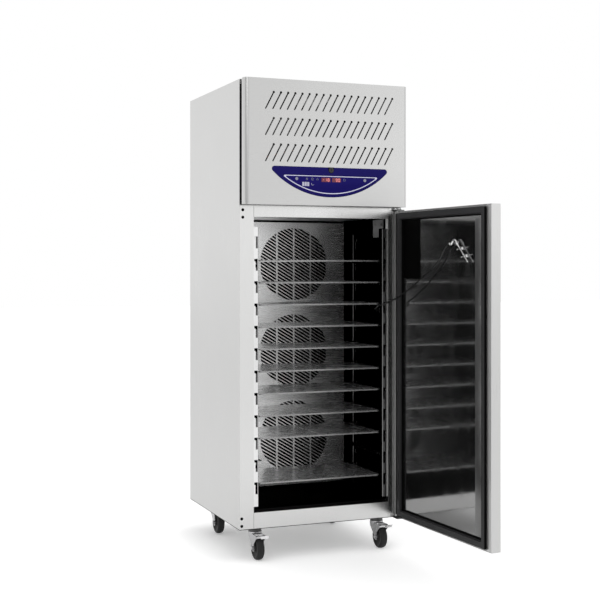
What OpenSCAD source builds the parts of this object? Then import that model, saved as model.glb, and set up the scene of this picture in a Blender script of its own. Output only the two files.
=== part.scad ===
// Upright reach-in blast chiller on four castors: insulated cabinet, one hinged door standing
// open, ten slide-in shelves on slotted racking, three fans behind a pierced air panel, and the
// refrigeration unit on top behind a louvred panel. Millimetres. The front faces -Y, +X is the
// viewer's right, and the origin is on the floor under the middle of the cabinet.

/* [Cabinet] */
// Width over the side panels
body_w = 750; // [720:10:800]
// Depth of the side panels
body_d = 718; // [700:2:760]
// Height of the top edge above the floor
body_top = 2016; // [1990:2:2060]
// Underside of the body above the floor
castor_h = 138; // [134:1:160]
// Top of the insulated box above the floor
box_top = 1492; // [1488:1:1500]
// Thickness of the outer sheet
skin = 1.2; // [0.8:0.1:2]
// Width of each upright of the front frame
stile_w = 63; // [58:1:70]
// Top of the sill above the floor
sill_top = 204; // [196:1:206]
// Underside of the top rail above the floor
rail_bottom = 1443; // [1438:1:1448]
// Depth of the frame's inward return
frame_return = 24; // [20:1:30]

/* [Cold cavity] */
// Thickness of the liner sheet
liner_t = 1.2; // [0.8:0.1:2]
// Rise of the liner floor over the sill
lip_bottom = 10; // [6:1:10]
// Drop of the liner ceiling under the top rail, negative for a rise
lip_top = -7; // [-10:1:10]
// Depth from the front plane to the liner's back wall
cavity_d = 640; // [630:1:650]
// Depth from the front plane to the pierced air panel
air_panel_d = 474; // [470:1:478]
// Thickness of the air panel
air_panel_t = 1.2; // [0.8:0.1:2]

/* [Racking] */
// Number of shelf levels on the racking
levels = 11; // [9:1:11]
// Level that is left empty in the photograph, counted from the top
empty_level = 10; // [10:1:10]
// Height of the top shelf's surface
top_shelf_z = 1262; // [1250:1:1270]
// Spacing of the levels
shelf_pitch = 93.75; // [90:0.25:94.5]
// Width of a shelf
shelf_w = 562; // [556:1:564]
// Depth of a shelf
shelf_d = 332; // [320:1:336]
// Thickness of the shelf sheet
shelf_t = 1.2; // [1:0.1:2]
// Front edge of a shelf behind the front plane
shelf_inset = 18; // [16:1:22]
// Depth of a shelf's folded hems
hem_h = 6; // [5:0.5:9]
// Width of a rack upright's face
upright_w = 18.5; // [17:0.5:20]
// Depth of a rack upright
upright_d = 25; // [20:1:28]
// Length of a slot in a rack upright
rack_slot_h = 48; // [40:1:54]

/* [Fans] */
// Diameter of each pierced field in the air panel
grille_d = 336; // [320:2:350]
// Sideways place of the evaporator fans
fan_x = 55; // [50:1:60]
// Height of the top evaporator fan
fan_top_z = 1245; // [1235:1:1250]
// Spacing of the evaporator fans
fan_pitch = 402; // [390:1:404]
// Radius of a fan wheel
fan_r = 150; // [130:1:155]
// Radius of a fan motor's shaft
fan_shaft_r = 4; // [3:0.5:5]
// Radial running clearance of shafts, pins and axles
run_gap = 0.05; // [0.03:0.01:0.1]

/* [Unit panel] */
// Reach of the unit panel in front of the cabinet
unit_reach = 64; // [60:1:70]
// Depth of the unit panel's tray
unit_tray_d = 35; // [30:1:40]
// Radius of the unit panel's upright corners
unit_corner_r = 22; // [16:1:24]
// Number of louvre slots in a row
louvre_count = 18; // [12:1:18]
// Spacing of the louvre slots
louvre_pitch = 32.2; // [30:0.1:33]
// Spacing of the louvre rows
louvre_row_pitch = 108.5; // [104:0.5:112]
// Length of a louvre slot
louvre_len = 80; // [60:1:88]
// Width of a louvre slot
louvre_slot_w = 5.6; // [4:0.1:6]
// Lean of the louvre slots from level
louvre_lean = 62.3; // [55:0.1:70]

/* [Control panel] */
// Width of the bezel's level top edge
bezel_w = 540; // [520:2:560]
// Height of the bezel
bezel_h = 126.5; // [120:0.5:130]
// Thickness of the bezel
bezel_t = 7; // [6:0.5:9]
// Radius of the bezel's two corners
bezel_corner_r = 12; // [8:1:14]
// Radius of a key
key_r = 6.5; // [5:0.5:7]
// Travel of a key
key_travel = 0.8; // [0.5:0.1:1]

/* [Door] */
// Thickness of the door without its seal
door_t = 44; // [42:1:46]
// Underside of the door above the floor
door_bottom = 141; // [140.5:0.5:146]
// Top of the door above the floor
door_top = 1475; // [1472:0.5:1477]
// Thickness of the seal
gasket_t = 10.7; // [10:0.1:10.8]
// Width of the seal
gasket_w = 28; // [24:1:30]
// Inset of the hinge axis from the door's hinge edge
hinge_inset = 19; // [18:0.5:22]
// Distance of the hinge axis in front of the cabinet
hinge_reach = 25; // [24.5:0.5:28]
// Radius of the hinge pins
hinge_pin_r = 5; // [4:0.5:6]
// Angle at which the door stands open
door_angle = 93; // [80:1:96]
// Width of the pull profile along the door's free edge
pull_w = 25; // [22:1:28]
// Width of the finger groove behind the pull
groove_w = 11; // [9:1:13]
// Radius of the door's front corners
door_corner_r = 14; // [8:1:16]

/* [Castors] */
// Diameter of a castor wheel
wheel_d = 100; // [96:1:104]
// Width of a castor wheel
wheel_w = 32; // [28:1:34]
// Horizontal distance from the swivel axis to the axle
castor_trail = 36; // [32:1:38]
// Inset of the castors' swivel axes from the sides
castor_inset = 90; // [85:1:110]
// Front castors' swivel axis behind the front plane
castor_front_d = 62; // [60:1:80]
// Rear castors' swivel axis in front of the back plane
castor_rear_d = 121; // [110:1:140]
// Radius of a castor axle
axle_r = 5; // [4:0.5:6]

/* [Food probe] */
// Diameter of the probe's cable
cable_d = 7; // [6:0.1:7.4]
// Radius of the probe's handle tube
probe_r = 4; // [3.5:0.5:4.5]
// Radius of the probe's needle
needle_r = 2; // [1.5:0.1:2.5]

/* [Hidden] */
shelf_names = ["shelf_01", "shelf_02", "shelf_03", "shelf_04", "shelf_05",
               "shelf_06", "shelf_07", "shelf_08", "shelf_09", "shelf_10"];

$fn = 48;
small = 0.2;                       // clearance between pieces of one body that only meet
rest_gap = 0.3;                    // clearance between pieces of different bodies at rest
cut = 5;                           // how far a cutting tool runs past a face

// Cabinet planes
half_w = body_w / 2;
front = -body_d / 2;
back = body_d / 2;
in_x = half_w - skin;              // inside of the side sheets
open_x = half_w - stile_w;         // half width of the front opening
floor_z = sill_top + lip_bottom;   // top of the liner floor
ceil_z = rail_bottom - lip_top;    // underside of the liner ceiling
liner_front = front + frame_return + skin;
liner_back = front + cavity_d;
pan_top = castor_h + skin;
deck_z = box_top;                  // top of the deck that carries the unit

// Air panel and what stands behind it
air_y = front + air_panel_d;
air_back = air_y + air_panel_t;
air_bottom = floor_z + 5;
air_top = ceil_z - 4;
fan_zs = [fan_top_z, fan_top_z - fan_pitch, fan_top_z - 2 * fan_pitch];
fan_depth = 26;
fan_gap = 8;                       // from a panel to the fan wheel in front of or behind it
fan_hub_r = 38;
motor_gap = 6;
evap_motor_len = 42;
evap_motor_y = air_back + fan_gap + fan_depth + motor_gap;
coil_back = liner_back - 5;
coil_d = 58;

// Racking
front_upright_y = front + 8;
rear_upright_y = front + shelf_inset + shelf_d - upright_d - 7;
upright_out = open_x - 5.5;        // wall side of an upright
upright_in = upright_out - upright_w;
upright_t = 1.5;
upright_bottom = floor_z + 13;
upright_top = ceil_z - 16;
runner_t = 1.5;
runner_leg = 22;                   // ledge that carries the shelf
runner_drop = 12;
runner_rise = 4;
shelf_corner_r = 12;
runner_setback = 6;                // ledges start this far behind a shelf's front edge
slit_w = 12;                       // drain slit of the lowest shelf
runner_y0 = front + shelf_inset + runner_setback + 1;
runner_y1 = rear_upright_y + upright_d;
hem_half = shelf_w / 2 - runner_leg - 4;
shelf_levels = [for (i = [0:levels - 1]) top_shelf_z - i * shelf_pitch];
loaded = [for (i = [0:levels - 1]) if (i != empty_level - 1) shelf_levels[i]];

// Unit panel and bezel
unit_front = front - unit_reach;
unit_back = unit_front + unit_tray_d;
unit_t = 1.5;
unit_bottom = box_top + 0.5;
ring_inset = 18;
louvre_x0 = -264;                  // middle of the first slot of a row
louvre_z0 = body_top - 90;         // middle height of the top row
bezel_x = 10;
bezel_top = unit_bottom + 161;
bezel_half = bezel_w / 2;
bezel_sag = bezel_h - bezel_corner_r;
bezel_arc_r = (bezel_half * bezel_half + bezel_sag * bezel_sag) / (2 * bezel_sag);
bezel_arc_z = bezel_top - bezel_h + bezel_arc_r;
band_h = 36;                       // plain band above the control panel
rim_w = 12.7;
control_t = 1.8;
bezel_y = unit_front - bezel_t;
key_z = bezel_top - 51.5;
start_key_x = -147;
stop_key_x = 166.5;
display_w = 41;
display_h = 18;
display_xs = [-14, 34.5];
lamp_xs = [-100.8, -75.6, -52.5, 71];
lock_r = 11;
lock_z = bezel_top - 11.5;

// Door, drawn closed and then swung open about the hinge axis
hinge_x = half_w - hinge_inset;
hinge_y = front - hinge_reach;
door_in = front - 11;              // inner face of the closed door
door_out = door_in - door_t;
edge_x = -half_w + pull_w;         // inboard end of the pull
body_x = edge_x + groove_w;        // where the door's hollow body starts
gasket_out = hinge_x - 16;         // half width over the seal
gasket_in = gasket_out - gasket_w;
gasket_lo = door_bottom + 8;
gasket_hi = door_top - 8;
pan_drop = 6;                      // depth of the pressed panel inside the seal
pan_margin = 5;
block_h = 26;                      // reinforcing blocks that hold the hinge pins
block_w = 30;
bracket_t = 5;
pin_reach = 22;
shoulder_h = door_bottom - castor_h - rest_gap;

// Castors
wheel_r = wheel_d / 2;
fork_gap = wheel_w / 2 + 2.5;      // inside of a fork cheek from the middle
cheek_t = 3;
crown_z = wheel_d + 5;
crown_h = 10;
race_z = crown_z + crown_h + rest_gap;
race_h = 14;
plate_t = 3.5;
pedal_y = -castor_trail - 30;
pedal_z = wheel_r + 50;
pedal_pin_r = 3;
castor_x = half_w - castor_inset;
castor_front_y = front + castor_front_d;
castor_rear_y = back - castor_rear_d;

// Food probe, in the plane of the open door: t runs from the hinge axis along the door
probe_off = hinge_reach - 5;       // centre line in front of the hinge axis, door closed
pan_face = door_in - pan_drop;

// Cable route, chosen by hand and measured from the hinge axis and the door's top: from the
// gland in the right wall round to the probe's ferrule
cable_points = [
    [-50, 100, -435], [-60, 99, -435], [-70, 93, -434], [-76, 81, -429], [-80, 64, -422],
    [-82, 46, -416], [-81, 30, -411], [-75, 18, -407], [-65, 9, -402], [-57, -4, -396],
    [-52, -26, -389], [-48, -56, -379], [-43, -89, -367], [-39, -121, -353], [-35, -156, -337],
    [-31, -190, -320], [-26, -224, -301], [-20, -257, -283], [-15, -290, -266],
    [-11, -320, -251], [-7, -344, -235], [-4, -363, -219], [-3, -379, -202], [-2, -394, -184],
    [-1, -409, -167], [0, -422, -156], [1, -433, -150]];
cable_route = [for (p = cable_points) [hinge_x + p[0], hinge_y + p[1], door_top + p[2]]];
cable_sides = 8;

// ---- Shared shapes -------------------------------------------------------------------------

module span(lo, hi) translate(lo) cube(hi - lo);

// A box mirrored to both sides of the middle plane
module both_sides() {
    children();
    mirror([1, 0, 0]) children();
}

module round_bar(r, from, to) {
    v = to - from;
    len = norm(v);
    translate(from)
        rotate([0, acos(v[2] / len), atan2(v[1], v[0])])
            cylinder(r = r, h = len);
}

// Cylinder along +Y from a point
module y_rod(r, at, len) translate(at) rotate([-90, 0, 0]) cylinder(r = r, h = len);

// Cylinder along +X from a point
module x_rod(r, at, len) translate(at) rotate([0, 90, 0]) cylinder(r = r, h = len);

// Rectangle with round corners, in the drawing plane
module round_rect(w, h, r) {
    translate([-w / 2, -h / 2 + r]) square([w, h - 2 * r]);
    translate([-w / 2 + r, -h / 2]) square([w - 2 * r, h]);
    for (x = [-1, 1], y = [-1, 1])
        translate([x * (w / 2 - r), y * (h / 2 - r)]) circle(r);
}

// Rectangular ring standing in the XZ plane, from plane y0 to y1
module upright_ring(x_out, x_in, z0, z0_in, z1_in, z1, y0, y1)
    difference() {
        span([-x_out, y0, z0], [x_out, y1, z1]);
        span([-x_in, y0 - cut, z0_in], [x_in, y1 + cut, z1_in]);
    }

module on_door()
    translate([hinge_x, hinge_y, 0]) rotate([0, 0, door_angle])
        translate([-hinge_x, -hinge_y, 0]) children();

// Axial fan wheel about +Z: a hub with a bore and five pitched blades
module fan_wheel() {
    pitch = 28;
    blade_t = 2;
    root = fan_hub_r - 4;
    tip = fan_r;
    difference() {
        union() {
            cylinder(r = fan_hub_r, h = fan_depth);
            for (i = [0:4])
                rotate([0, 0, i * 72])
                    intersection() {
                        translate([0, 0, fan_depth / 2]) rotate([pitch, 0, 0])
                            linear_extrude(blade_t, center = true)
                                polygon([[root, -15], [tip * 0.6, -26], [tip, -24],
                                         [tip, 24], [tip * 0.6, 30], [root, 18]]);
                        cylinder(r = fan_r, h = fan_depth);
                    }
        }
        translate([0, 0, -cut])
            cylinder(r = fan_shaft_r + run_gap, h = fan_depth + 2 * cut);
    }
}

// ---- Cabinet shell -------------------------------------------------------------------------

module outer_case() color("lightsteelblue") {
    vent_rows = 12;
    vent_w = 90;
    vent_h = 6;
    vent_step = 110;
    vent_x0 = -half_w + 40;
    difference() {
        translate([0, 0, castor_h]) linear_extrude(body_top - castor_h)
            difference() {
                translate([-half_w, front]) square([body_w, body_d]);
                translate([-in_x, front - cut]) square([2 * in_x, body_d + cut - skin]);
            }
        for (i = [0:2], row = [0:vent_rows - 1])
            span([vent_x0 + i * vent_step, back - skin - cut, deck_z + 210 + row * 20],
                 [vent_x0 + i * vent_step + vent_w, back + cut,
                  deck_z + 210 + row * 20 + vent_h]);
        y_rod(inlet_r + small, [inlet_x, back - skin - cut, inlet_z], skin + 2 * cut);
    }
}

module front_frame() color("silver") {
    // Face ring, then the return round the opening
    upright_ring(in_x, open_x, castor_h, sill_top, rail_bottom, box_top, front, front + skin);
    upright_ring(open_x + skin, open_x, sill_top - skin, sill_top, rail_bottom,
                 rail_bottom + skin, front, front + frame_return);
}

module inner_liner() color("gainsboro") {
    wall = open_x + liner_t;
    difference() {
        union() {
            span([-wall, liner_front - liner_t, floor_z - liner_t],
                 [wall, liner_back + liner_t, ceil_z + liner_t]);
            // Front flange that closes the step between frame and liner
            span([-wall, liner_front - liner_t, sill_top - skin],
                 [wall, liner_front, rail_bottom + skin]);
        }
        span([-open_x, front, floor_z], [open_x, liner_back, min(ceil_z, rail_bottom)]);
        span([-open_x, liner_front, floor_z], [open_x, liner_back, ceil_z]);
        translate([0, drain_y, floor_z - cut]) cylinder(r = drain_pipe_r + small, h = 2 * cut);
        x_rod(gland_r + small, [open_x - cut, gland_y, gland_z], 2 * cut);
    }
}

module cabinet_foam() color("khaki") {
    wall = open_x + liner_t + small;
    difference() {
        span([-in_x, front + skin, pan_top], [in_x, back - skin, box_top - skin]);
        span([-wall, front, sill_top - skin - small],
             [wall, liner_front + small, rail_bottom + skin + small]);
        span([-wall, liner_front - liner_t - small, floor_z - liner_t - small],
             [wall, liner_back + liner_t + small, ceil_z + liner_t + small]);
        translate([0, drain_y, castor_h]) cylinder(r = drain_pipe_r + small, h = floor_z);
        x_rod(gland_nut_r + small, [open_x, gland_y, gland_z], gland_tail + 2);
    }
}

module base_pan() color("gray") {
    difference() {
        span([-in_x, front + skin, castor_h], [in_x, back - skin, pan_top]);
        translate([0, drain_y, castor_h - cut]) cylinder(r = drain_pipe_r + small, h = 2 * cut);
    }
}

// Deck over the insulation with the dark frame that carries the unit panel
module unit_frame() color("dimgray") {
    ring_x = half_w - ring_inset;
    ring_t = 1.5;
    span([-in_x, front + skin, box_top - skin], [in_x, back - skin, deck_z]);
    upright_ring(ring_x, ring_x - ring_t, deck_z, deck_z + ring_t,
                 body_top - ring_inset - ring_t, body_top - ring_inset,
                 unit_back, front + 12);
    both_sides()
        span([ring_x - ring_t, front + 2, deck_z + 20], [in_x, front + 4, body_top - 20]);
}

module roof_panel() color("silver") {
    slot_n = 14;
    difference() {
        span([-in_x, front, body_top - skin], [in_x, back - skin, body_top]);
        for (x = [-170, 170], i = [0:slot_n - 1])
            span([x - 70, back - 90 - i * 18, body_top - skin - cut],
                 [x + 70, back - 84 - i * 18, body_top + cut]);
    }
}

// ---- Unit panel and controls ---------------------------------------------------------------

// Plan of the tray: square at the back, round at its two front corners
module unit_plan(inset) {
    r = unit_corner_r - inset;
    w = half_w - inset;
    y0 = unit_front + inset;
    translate([-w, y0 + r]) square([2 * w, unit_back - y0 - r]);
    intersection() {
        union() {
            translate([-w + r, y0]) square([2 * (w - r), r]);
            for (s = [-1, 1]) translate([s * (w - r), y0 + r]) circle(r);
        }
        translate([-w, y0]) square([2 * w, r]);
    }
}

// One louvre slot, with the round hole at its upper end
module louvre_shape() {
    hole_r = louvre_slot_w * 0.9;
    rotate(louvre_lean) {
        translate([-louvre_len / 2, -louvre_slot_w / 2]) square([louvre_len, louvre_slot_w]);
        translate([-louvre_len / 2, 0]) circle(louvre_slot_w / 2, $fn = 16);
        translate([louvre_len / 2 - hole_r / 2, 0]) circle(hole_r, $fn = 20);
    }
}

module unit_panel() color("gainsboro") {
    lip = 18;
    difference() {
        union() {
            translate([0, 0, unit_bottom]) linear_extrude(body_top - unit_bottom)
                difference() {
                    unit_plan(0);
                    unit_plan(unit_t);
                    translate([-half_w + unit_t, unit_back - unit_t - cut])
                        square([body_w - 2 * unit_t, unit_t + 2 * cut]);
                }
            for (z = [unit_bottom, body_top - unit_t])
                translate([0, 0, z]) linear_extrude(unit_t) unit_plan(0);
            // Inward lip round the tray's open back
            upright_ring(half_w, half_w - lip, unit_bottom, unit_bottom + lip,
                         body_top - lip, body_top, unit_back - unit_t, unit_back);
        }
        translate([0, unit_front + unit_t + cut, 0]) rotate([90, 0, 0])
            linear_extrude(unit_t + 2 * cut)
                for (row = [0:2], i = [0:louvre_count - 1])
                    translate([louvre_x0 + i * louvre_pitch,
                               louvre_z0 - row * louvre_row_pitch])
                        louvre_shape();
        y_rod(lock_r + run_gap, [bezel_x, unit_front - cut, lock_z], unit_t + 2 * cut);
    }
}

// Segment with a level top, a low arc below and two round corners. inset shrinks it; band
// lowers the top edge only.
module segment_shape(inset, band, r) {
    arc_r = bezel_arc_r - inset;
    top = bezel_top - band;
    corner_z = top - r;
    corner_x = sqrt((arc_r - r) * (arc_r - r)
                    - (bezel_arc_z - corner_z) * (bezel_arc_z - corner_z));
    k = arc_r / (arc_r - r);
    touch_x = corner_x * k;
    touch_z = bezel_arc_z + (corner_z - bezel_arc_z) * k;
    low = bezel_arc_z - arc_r - cut;
    translate([bezel_x, 0]) {
        intersection() {
            translate([0, bezel_arc_z]) circle(arc_r, $fn = 180);
            polygon([[-corner_x, top], [corner_x, top], [touch_x, touch_z],
                     [touch_x, low], [-touch_x, low], [-touch_x, touch_z]]);
        }
        for (s = [-1, 1]) translate([s * corner_x, corner_z]) circle(r);
    }
}

// Stands a drawing in the XZ plane up as a slab between two y planes
module slab(y0, y1) translate([0, y1, 0]) rotate([90, 0, 0]) linear_extrude(y1 - y0) children();

module control_bezel() color("navy") {
    notch_r = lock_r + 1.5;
    difference() {
        slab(bezel_y, unit_front) segment_shape(0, 0, bezel_corner_r);
        slab(bezel_y - cut, bezel_y + control_t + small)
            segment_shape(rim_w, band_h, 4);
        // Notch for the lock, open to the top edge
        y_rod(notch_r, [bezel_x, bezel_y - cut, lock_z], bezel_t + 2 * cut);
        span([bezel_x - notch_r, bezel_y - cut, lock_z],
             [bezel_x + notch_r, unit_front + cut, bezel_top + cut]);
        for (x = [start_key_x, stop_key_x])
            y_rod(key_r + run_gap, [x, bezel_y - cut, key_z], bezel_t - 1 + cut);
    }
}

// Membrane plate with its two display windows, four lamps and two key holes
module control_panel() color("midnightblue") {
    difference() {
        union() {
            slab(bezel_y + small, bezel_y + small + control_t)
                segment_shape(rim_w + small, band_h + small, 4);
            for (x = display_xs)
                span([x - display_w / 2, bezel_y - 0.6, key_z - 11],
                     [x + display_w / 2, bezel_y + small + 0.1, key_z - 11 + display_h]);
            for (x = lamp_xs) y_rod(3, [x, bezel_y - 0.4, key_z], 1);
        }
        for (x = [start_key_x, stop_key_x])
            y_rod(key_r + 2 * run_gap, [x, bezel_y - cut, key_z], bezel_t + cut);
    }
}

module key(x) {
    y_rod(key_r, [x, bezel_y - 1, key_z], bezel_t - 1 - key_travel);
}

module start_key() color("lightsteelblue") key(start_key_x);
module stop_key() color("lightsteelblue") key(stop_key_x);

// Cam lock: barrel with a key slot in front and a cam behind the panel
module panel_lock() color("black") {
    barrel_back = unit_front + 20;
    difference() {
        y_rod(lock_r, [bezel_x, bezel_y - 1.5, lock_z], barrel_back - bezel_y + 1.5);
        span([bezel_x - 1, bezel_y - 1.5 - cut, lock_z - 5],
             [bezel_x + 1, bezel_y + 1.5, lock_z + 5]);
    }
    span([bezel_x - 8, barrel_back, lock_z - 8], [bezel_x + 8, barrel_back + 2, lock_z + 26]);
}

module controller_box() color("darkslategray") {
    y0 = unit_front + unit_t;
    span([-110, y0, unit_bottom + 40], [130, y0 + 28, unit_bottom + 128]);
    for (x = [-80, 100]) span([x, y0 + 28, unit_bottom + 60], [x + 14, y0 + 33, unit_bottom + 108]);
}

// ---- Refrigeration unit --------------------------------------------------------------------

comp_x = -half_w + 140;
comp_y = 150;
comp_r = 92;
cond_y = front + 36;
cond_d = 70;
comp_h = 190;                      // height of the compressor's shell
cond_x0 = -60;
cond_x1 = half_w - 45;
cond_z0 = deck_z + 6;
cond_z1 = deck_z + 420;
cond_fan_x = (cond_x0 + cond_x1) / 2;
cond_fan_z = (cond_z0 + cond_z1) / 2;
shroud_y = cond_y + cond_d + 6;
inlet_r = 9;
inlet_x = -300;
inlet_z = deck_z + 90;
drain_r = 16;
drain_pipe_r = 18;
drain_y = liner_back - 38;
drain_out = 22;

module compressor() color("black") {
    body_h = comp_h;
    translate([comp_x, comp_y, deck_z]) {
        // Feet on rubber bushes, then the welded shell with its domed top
        for (x = [-1, 1], y = [-1, 1])
            translate([x * 95, y * 70, 0]) {
                cylinder(r = 14, h = 16);
                cylinder(r = 4, h = 28);
            }
        translate([0, 0, 16]) linear_extrude(4) round_rect(230, 180, 20);
        translate([0, 0, 20]) rotate_extrude($fn = 72)
            intersection() {
                square([comp_r, body_h]);
                translate([0, body_h - 140]) circle(140, $fn = 96);
            }
        translate([-30, comp_r - 12, 60]) cube([60, 34, 70]);
        translate([40, 30, 20 + body_h - 40]) cylinder(r = 6, h = 50);
        translate([-50, -20, 20 + body_h - 40]) cylinder(r = 8, h = 50);
    }
}

module finned_coil(x0, x1, y0, y1, z0, z1, fins, rows, tube_r) {
    fin_t = 1.2;
    end_t = 2;
    step = (x1 - x0 - end_t) / (fins + 1);
    for (i = [1:fins]) span([x0 + i * step, y0, z0], [x0 + i * step + fin_t, y1, z1]);
    for (x = [x0, x1 - end_t]) span([x, y0 - 1, z0 - 6], [x + end_t, y1 + 1, z1 + 6]);
    tube_step = (z1 - z0) / rows;
    for (j = [0:rows - 1])
        x_rod(tube_r, [x0 - 6, (y0 + y1) / 2, z0 + (j + 0.5) * tube_step], x1 - x0 + 12);
    // Return bends join the tubes two by two at alternate ends
    for (j = [0:rows - 2])
        translate([j % 2 == 0 ? x1 + 6 : x0 - 6, (y0 + y1) / 2, z0 + (j + 1) * tube_step])
            rotate([0, 90, 90])
                rotate([0, 0, j % 2 == 0 ? 0 : 180])
                    rotate_extrude(angle = 180, $fn = 24)
                        translate([tube_step / 2, 0]) circle(tube_r, $fn = 16);
}

module condenser_coil() color("silver")
    finned_coil(cond_x0, cond_x1, cond_y, cond_y + cond_d, cond_z0, cond_z1, 22, 8, 5);

module condenser_fan_motor() color("dimgray") {
    plate_t = 1.5;
    motor_y = shroud_y + plate_t + fan_gap + fan_depth + motor_gap;
    motor_r = 44;
    difference() {
        span([cond_x0, shroud_y, deck_z], [cond_x1, shroud_y + plate_t, cond_z1 + 6]);
        y_rod(fan_r + 8, [cond_fan_x, shroud_y - cut, cond_fan_z], plate_t + 2 * cut);
    }
    difference() {
        y_rod(fan_r + 10, [cond_fan_x, shroud_y, cond_fan_z], fan_gap + fan_depth);
        y_rod(fan_r + 8, [cond_fan_x, shroud_y - cut, cond_fan_z], fan_depth + 4 * cut);
    }
    y_rod(motor_r, [cond_fan_x, motor_y, cond_fan_z], 60);
    y_rod(fan_shaft_r, [cond_fan_x, shroud_y + plate_t, cond_fan_z],
          motor_y - shroud_y);
    for (s = [-1, 1]) {
        span([cond_fan_x + s * 175 - 8, shroud_y + plate_t, cond_fan_z - 8],
             [cond_fan_x + s * 175 + 8, motor_y + 30, cond_fan_z + 8]);
        span([cond_fan_x + (s > 0 ? 40 : -183), motor_y + 27, cond_fan_z - 8],
             [cond_fan_x + (s > 0 ? 183 : -40), motor_y + 30, cond_fan_z + 8]);
    }
}

module condenser_fan() color("dimgray")
    translate([cond_fan_x, shroud_y + 1.5 + fan_gap, cond_fan_z])
        rotate([-90, 0, 0]) fan_wheel();

// Liquid receiver on its feet, and the copper pipes between the parts
module refrigerant_pipes() color("chocolate") {
    pipe_r = 5;
    rx = 40;
    ry = 200;
    top = deck_z + 20 + comp_h + 10;
    translate([rx, ry, deck_z]) {
        cylinder(r = 55, h = 4);
        cylinder(r = 45, h = 150);
        translate([0, 0, 150]) cylinder(r1 = 45, r2 = 20, h = 14, $fn = 48);
        translate([0, 0, 160]) cylinder(r = pipe_r, h = 40);
    }
    // Hot gas from the compressor to the coil
    disc = [comp_x + 40, comp_y + 30, top + 30];
    cond_in = [cond_x0 - 14, cond_y + cond_d / 2, top + 30];
    round_bar(pipe_r, [disc[0], disc[1], top + rest_gap], disc);
    round_bar(pipe_r, disc, [cond_in[0], disc[1], disc[2]]);
    round_bar(pipe_r, [cond_in[0], disc[1], disc[2]], cond_in);
    for (p = [disc, [cond_in[0], disc[1], disc[2]], cond_in]) translate(p) sphere(pipe_r + 0.6);
    // Liquid line down to the receiver
    round_bar(pipe_r, [rx, ry, top + 8], [cond_in[0], ry, top + 8]);
    translate([rx, ry, top + 8]) sphere(pipe_r + 0.6);
    round_bar(pipe_r, [rx, ry, deck_z + comp_h], [rx, ry, top + 8]);
}

// Switch box on the deck, and the gland where the mains lead enters the back
module electrical_box() color("lightgray") {
    x0 = -half_w + 15;
    span([x0, -60, deck_z], [x0 + 110, -20, deck_z + 180]);
    span([x0 + 4, -64, deck_z + 8], [x0 + 106, -60, deck_z + 172]);
    difference() {
        union() {
            y_rod(inlet_r, [inlet_x, back - skin - 12, inlet_z], skin + 24);
            y_rod(inlet_r + 5, [inlet_x, back, inlet_z], 7);
            y_rod(inlet_r + 5, [inlet_x, back - skin - 8, inlet_z], 8);
        }
        y_rod(4, [inlet_x, back - 30, inlet_z], 60);
    }
}

// ---- Cold side -----------------------------------------------------------------------------

// Leaning slots in four columns, cut off by the round outline of the field
module grille_shape() {
    r = grille_d / 2;
    col = grille_d / 4;
    rib = 8;
    pitch = 15.7;
    slot_h = 10.4;
    lean = 0.595;
    intersection() {
        circle(r, $fn = 96);
        for (c = [-2:1]) {
            x0 = c * col + rib / 2;
            x1 = (c + 1) * col - rib / 2;
            fall = (x1 - x0) * lean;
            for (k = [-13:13])
                translate([0, k * pitch])
                    polygon([[x0, fall / 2 - slot_h / 2], [x1, -fall / 2 - slot_h / 2],
                             [x1, -fall / 2 + slot_h / 2], [x0, fall / 2 + slot_h / 2]]);
        }
    }
}

module air_panel() color("gainsboro") {
    side = open_x - small;
    flange = 14;
    slab(air_y, air_back) difference() {
        translate([-side, air_bottom]) square([2 * side, air_top - air_bottom]);
        for (z = fan_zs) translate([fan_x, z]) grille_shape();
    }
    both_sides()
        span([side - air_panel_t, air_y, air_bottom], [side, air_back + flange, air_top]);
}

// Three motors on one upright strap between the liner's floor and ceiling
module evaporator_motors() color("dimgray") {
    r = 42;
    strap_half = 30;
    strap_y = evap_motor_y + evap_motor_len;
    for (z = fan_zs) {
        y_rod(r, [fan_x, evap_motor_y, z], evap_motor_len);
        y_rod(fan_shaft_r, [fan_x, air_back + 3, z], evap_motor_y - air_back);
    }
    span([fan_x - strap_half, strap_y, floor_z], [fan_x + strap_half, strap_y + 3, ceil_z]);
}

module evaporator_fan(i)
    translate([fan_x, air_back + fan_gap, fan_zs[i]]) rotate([-90, 0, 0]) fan_wheel();

module evaporator_fan_top() color("darkgray") evaporator_fan(0);
module evaporator_fan_middle() color("darkgray") evaporator_fan(1);
module evaporator_fan_bottom() color("darkgray") evaporator_fan(2);

module evaporator_coil() color("silver") {
    x = open_x - 24;
    z0 = floor_z + 34;
    z1 = ceil_z - 22;
    finned_coil(-x, x, coil_back - coil_d, coil_back, z0, z1, 14, 12, 6);
    // Hanging straps up to the ceiling
    for (s = [-1, 1])
        span([s * (x - 2) - 2, coil_back - coil_d + 10, z1], [s * (x - 2) + 2, coil_back - 10, ceil_z]);
}

module drip_tray() color("silver") {
    w = open_x - 4;
    y0 = coil_back - coil_d - 12;
    wall_h = 22;
    t = 1.2;
    difference() {
        union() {
            span([-w, y0, floor_z], [w, liner_back - 1, floor_z + wall_h]);
            // Hose spigot under the base, and the wider pipe through the insulation
            translate([0, drain_y, castor_h - drain_out])
                cylinder(r = drain_r, h = drain_out);
            translate([0, drain_y, castor_h])
                cylinder(r = drain_pipe_r, h = floor_z - castor_h + t);
        }
        span([-w + t, y0 + t, floor_z + t], [w - t, liner_back - 1 - t, floor_z + wall_h + cut]);
        translate([0, drain_y, castor_h - drain_out - cut])
            cylinder(r = drain_r - 1.5, h = floor_z - castor_h + drain_out + 2 * cut + t);
    }
}

// ---- Racking -------------------------------------------------------------------------------

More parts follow.
